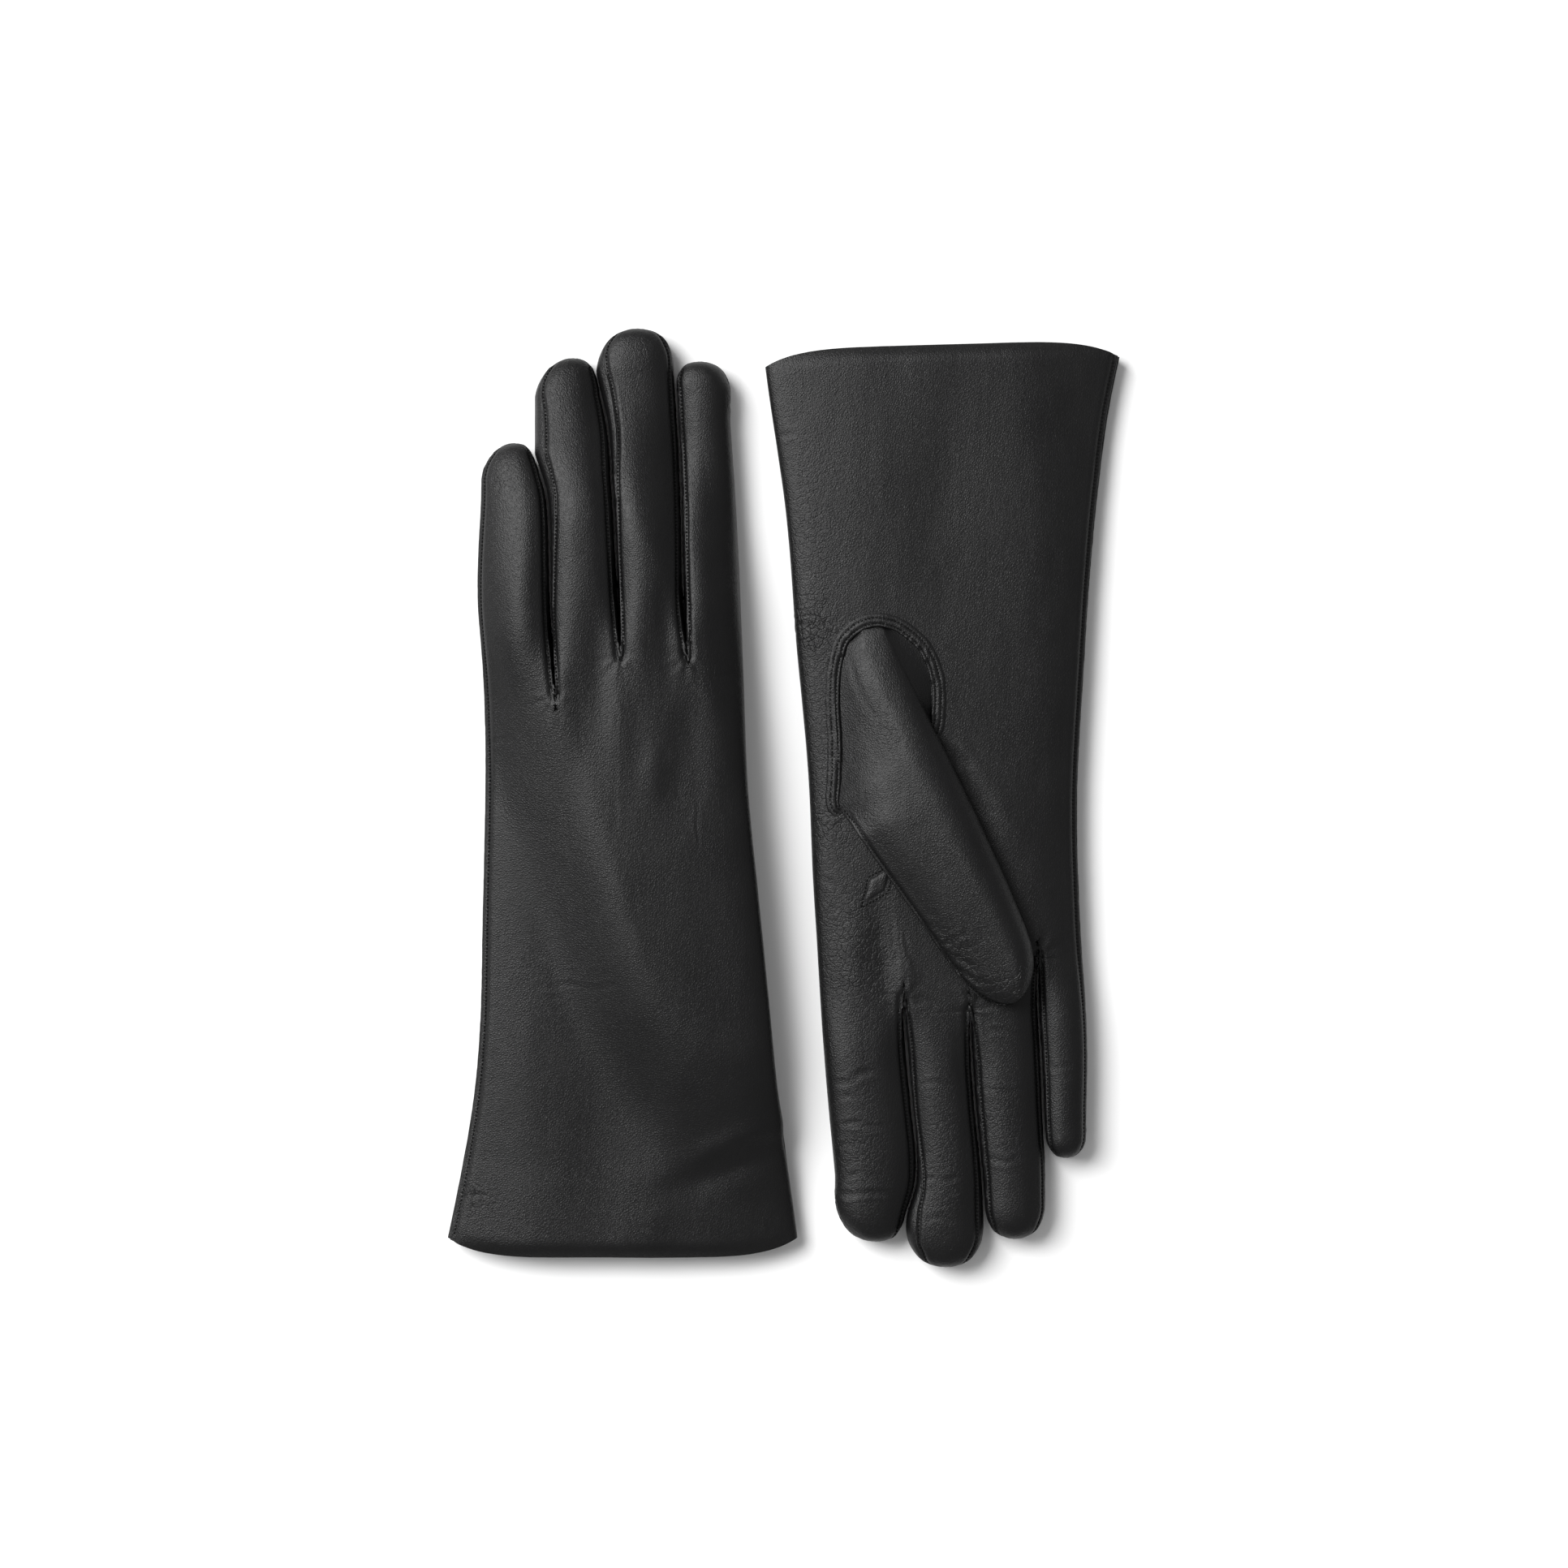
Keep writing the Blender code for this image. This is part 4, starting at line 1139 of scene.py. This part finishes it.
def leather_material():
    """Smooth black nappa: fine closed grain, faint stretch lines and a soft, uneven sheen."""
    made, tree, shader = shader_tree("black_nappa", (0.006, 0.006, 0.0065), 0.43)
    place = grain_coordinates(tree)
    cells = add_texture(tree, "ShaderNodeTexVoronoi", place, Scale=1450.0, feature="DISTANCE_TO_EDGE")
    pebble = ramp_between(tree, cells.outputs["Distance"], 0.0, 1.0)
    fine = add_texture(tree, "ShaderNodeTexNoise", place, Scale=1500.0, Detail=4.0, Roughness=0.6)
    stretched = grain_coordinates(tree, (1.0, 0.28, 1.0))
    lines = add_texture(tree, "ShaderNodeTexNoise", stretched, Scale=420.0, Detail=5.0, Roughness=0.6)
    creased = add_node(tree, "ShaderNodeTexVoronoi", Scale=430.0, feature="DISTANCE_TO_EDGE")
    bent = add_texture(tree, "ShaderNodeTexNoise", place, Scale=260.0, Detail=3.0)
    shift = add_node(tree, "ShaderNodeMix", data_type="VECTOR", Factor=0.0035)
    tree.links.new(place, shift.inputs[4])
    tree.links.new(bent.outputs["Color"], shift.inputs[5])
    tree.links.new(shift.outputs[1], creased.inputs["Vector"])
    where = add_node(tree, "ShaderNodeAttribute", attribute_name="wrinkle")
    worn = add_node(tree, "ShaderNodeMath", operation="MULTIPLY")
    cracks = ramp_between(tree, creased.outputs["Distance"], 0.0, 1.0)
    cracks.node.inputs["From Max"].default_value = 0.14
    tree.links.new(cracks, worn.inputs[0])
    tree.links.new(where.outputs["Fac"], worn.inputs[1])
    normal = add_bump(tree, worn.outputs["Value"], 0.00018, 0.8)
    normal = add_bump(tree, lines.outputs["Fac"], 0.0003, 0.3, normal)
    normal = add_bump(tree, fine.outputs["Fac"], 0.0002, 0.4, normal)
    normal = add_bump(tree, pebble, 0.00024, 0.6, normal)
    tree.links.new(normal, shader.inputs["Normal"])
    patchy = add_texture(tree, "ShaderNodeTexNoise", place, Scale=55.0, Detail=4.0)
    tree.links.new(ramp_between(tree, patchy.outputs["Fac"], 0.36, 0.48), shader.inputs["Roughness"])
    add_tint(tree, shader, patchy.outputs["Fac"], (0.0018, 0.0018, 0.002), (0.0044, 0.0043, 0.0045))
    shader.inputs["Specular IOR Level"].default_value = 0.275
    return made

def lining_material():
    """Thin black rib knit."""
    made, tree, shader = shader_tree("knitted_lining", (0.022, 0.022, 0.024), 0.95)
    place = grain_coordinates(tree)
    ribs = add_texture(tree, "ShaderNodeTexWave", place, Scale=900.0, Distortion=1.5, bands_direction="X")
    loops = add_texture(tree, "ShaderNodeTexNoise", place, Scale=1400.0, Detail=3.0)
    normal = add_bump(tree, ribs.outputs["Fac"], 0.0004, 0.7)
    normal = add_bump(tree, loops.outputs["Fac"], 0.0003, 0.5, normal)
    tree.links.new(normal, shader.inputs["Normal"])
    add_tint(tree, shader, ribs.outputs["Fac"], (0.012, 0.012, 0.013), (0.035, 0.035, 0.038))
    shader.inputs["Sheen Weight"].default_value = 0.3
    return made

def thread_material():
    """Black polished cotton thread with the twist of its strands."""
    made, tree, shader = shader_tree("black_thread", (0.003, 0.003, 0.003), 0.5)
    place = grain_coordinates(tree)
    twist = add_texture(tree, "ShaderNodeTexWave", place, Scale=2600.0, bands_direction="DIAGONAL")
    tree.links.new(add_bump(tree, twist.outputs["Fac"], 0.00008, 0.5), shader.inputs["Normal"])
    tree.links.new(ramp_between(tree, twist.outputs["Fac"], 0.55, 0.8), shader.inputs["Roughness"])
    shader.inputs["Specular IOR Level"].default_value = 0.12
    return made

# Building

def finish_piece(piece, body, replaced=(), bend=None):
    """Puts a piece on its body, or else bakes its place into its points and leaves it unparented, and hides
    the parts it replaces.
    """
    if bend is None:
        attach(piece, body)
    else:
        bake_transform(piece)
    if replaced:
        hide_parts(*replaced)

def build_glove(side, leather, lining, thread):
    """All the sewn pieces of one glove."""
    form = Form(side)
    hand, cuff = f"{side}_hand", f"{side}_cuff"
    skin = grow(form, SPACING, COLUMNS)
    shape_skin(form, skin)
    thumb = grow_thumb(form, SPACING, COLUMNS + 2)
    shape_thumb(form, thumb)
    inner = grow(form, LINING_SPACING, LINING_COLUMNS)
    inner_thumb = grow_thumb(form, LINING_SPACING, LINING_COLUMNS + 2)
    turned_in = (inner.labels == "hand") & (inner.facts["v"][inner.faces].mean(axis=1) < HEM_DEPTH)
    inner.labels = np.where(turned_in, "facing", inner.labels)
    palm = Surface(skin, 1 if side == "right" else -1)

    wrist = (hand, world_point(form, WRIST_V + WRIST_SPREAD), world_point(form, WRIST_V - WRIST_SPREAD))
    trank = cut_piece(f"{side}_trank", form, skin, ["hand"], leather, LEATHER)
    finish_piece(trank, cuff, (f"{side}_hand_leather", f"{side}_cuff_leather"), wrist)
    gussets = cut_piece(f"{side}_fork_gussets", form, skin, ["fork_gussets"], leather, LEATHER)
    finish_piece(gussets, hand)
    facing = cut_piece(f"{side}_hem", form, inner, ["facing"], leather, LINING, sunk=HEM_SUNK)
    finish_piece(facing, cuff, (f"{side}_hem_facing",))
    palm_and_forks = ["hand", "fork_gussets"]
    inside = cut_piece(f"{side}_inner_hand", form, inner, palm_and_forks, lining, LINING, sunk=LINING_SUNK)
    finish_piece(inside, cuff, (f"{side}_hand_lining", f"{side}_cuff_lining"), wrist)

    outseam = stitch_mesh(f"{side}_hand_thread", form, stitches_along(skin, "hand"), thread)
    finish_piece(outseam, cuff, (), wrist)
    for around in make_rim(form, palm, leather, thread):
        finish_piece(around, hand)

    set_in = cut_piece(f"{side}_thumb_set_in", form, thumb, ["thumb_base"], leather, LEATHER)
    finish_piece(set_in, hand, (f"{side}_thumb_base_leather",))
    along = [*form.thumb_along * THUMB_BEND_LENGTH, 0]
    root = np.array([*form.thumb_root + form.thumb_along * THUMB_JOIN, HALFWAY_UP])
    bend = (hand, tuple(form.world(root)), tuple(form.world(root + along)))
    stall = cut_piece(f"{side}_thumb_stall", form, thumb, ["thumb"], leather, LEATHER)
    finish_piece(stall, f"{side}_thumb", (f"{side}_thumb_leather",), bend)
    fine = {"look": lining, "thickness": FINGER_LINING}
    inside = cut_piece(f"{side}_inner_thumb", form, inner_thumb, ["thumb"], sunk=THUMB_LINING_SUNK, **fine)
    finish_piece(inside, f"{side}_thumb", (f"{side}_thumb_lining",), bend)
    sewn = stitch_mesh(f"{side}_thumb_thread", form, stitches_along(thumb, "thumb"), thread)
    finish_piece(sewn, f"{side}_thumb", (), bend)

    quirk = make_quirk(form, palm, leather)
    finish_piece(quirk, hand, (f"{side}_thumb_quirk",))
    sewn = stitch_mesh(f"{side}_quirk_thread", form, quirk_stitches(palm), thread)
    finish_piece(sewn, hand)

    for number, finger in enumerate(FINGERS):
        body = f"{side}_{finger}"
        start, end = JOIN_V[number], JOIN_V[number] + BEND_LENGTH
        bend = (hand, world_point(form, start), world_point(form, end))
        stall = cut_piece(f"{side}_{finger}_stall", form, skin, [finger], leather, LEATHER)
        finish_piece(stall, body, (f"{side}_{finger}_leather",), bend)
        inside = cut_piece(f"{side}_inner_{finger}", form, inner, [finger], sunk=LINING_SUNK, **fine)
        finish_piece(inside, body, (f"{side}_{finger}_lining",), bend)
        sewn = stitch_mesh(f"{side}_{finger}_thread", form, stitches_along(skin, finger), thread)
        finish_piece(sewn, body, (), bend)
        for other in (number - 1, number + 1):
            if 0 <= other < len(FINGERS):
                pair = f"{finger}_{FINGERS[other]}"
                label = f"{pair}_fourchette"
                strip = cut_piece(f"{side}_{pair}_gusset", form, skin, [label], leather, LEATHER)
                finish_piece(strip, body, (f"{side}_{label}",), bend)

def build_stage():
    """The white table, the even white surroundings and the lamp at the upper left."""
    mesh = bpy.data.meshes.new("table")
    corners = [(x * TABLE_REACH, y * TABLE_REACH, 0) for x, y in ((-1, -1), (1, -1), (1, 1), (-1, 1))]
    mesh.from_pydata(corners, [], [(0, 1, 2, 3)])
    look, _, shader = shader_tree("white_table", (0.9, 0.9, 0.9), 0.8)
    shader.inputs["Specular IOR Level"].default_value = 0.1
    mesh.materials.append(look)
    table = bpy.data.objects.new("table", mesh)
    bpy.context.collection.objects.link(table)
    world = bpy.data.worlds.new("studio")
    world.use_nodes = True
    background = world.node_tree.nodes["Background"].inputs
    background["Color"].default_value = (1, 1, 1, 1)
    background["Strength"].default_value = WORLD_STRENGTH
    bpy.context.scene.world = world
    bpy.context.scene.view_settings.view_transform = "Standard"
    light = bpy.data.lights.new("key", "AREA")
    light.size = KEY_SIZE
    light.energy = KEY_POWER
    lamp = bpy.data.objects.new("key", light)
    lamp.location = KEY_PLACE
    lamp.rotation_euler = (-Vector(KEY_PLACE)).to_track_quat("-Z", "Y").to_euler()
    bpy.context.collection.objects.link(lamp)

def build_camera():
    """A camera straight above, that frames the pair as it lies."""
    camera = bpy.data.cameras.new("camera")
    camera.sensor_width = SENSOR_WIDTH
    camera.lens = CAMERA_HEIGHT * SENSOR_WIDTH / FRAME_WIDTH
    made = bpy.data.objects.new("camera", camera)
    made.location = (*CAMERA_OVER, CAMERA_HEIGHT)
    bpy.context.collection.objects.link(made)
    bpy.context.scene.camera = made

def main():
    leather, lining, thread = leather_material(), lining_material(), thread_material()
    for side in GLOVES:
        build_glove(side, leather, lining, thread)
    build_stage()
    build_camera()

main()
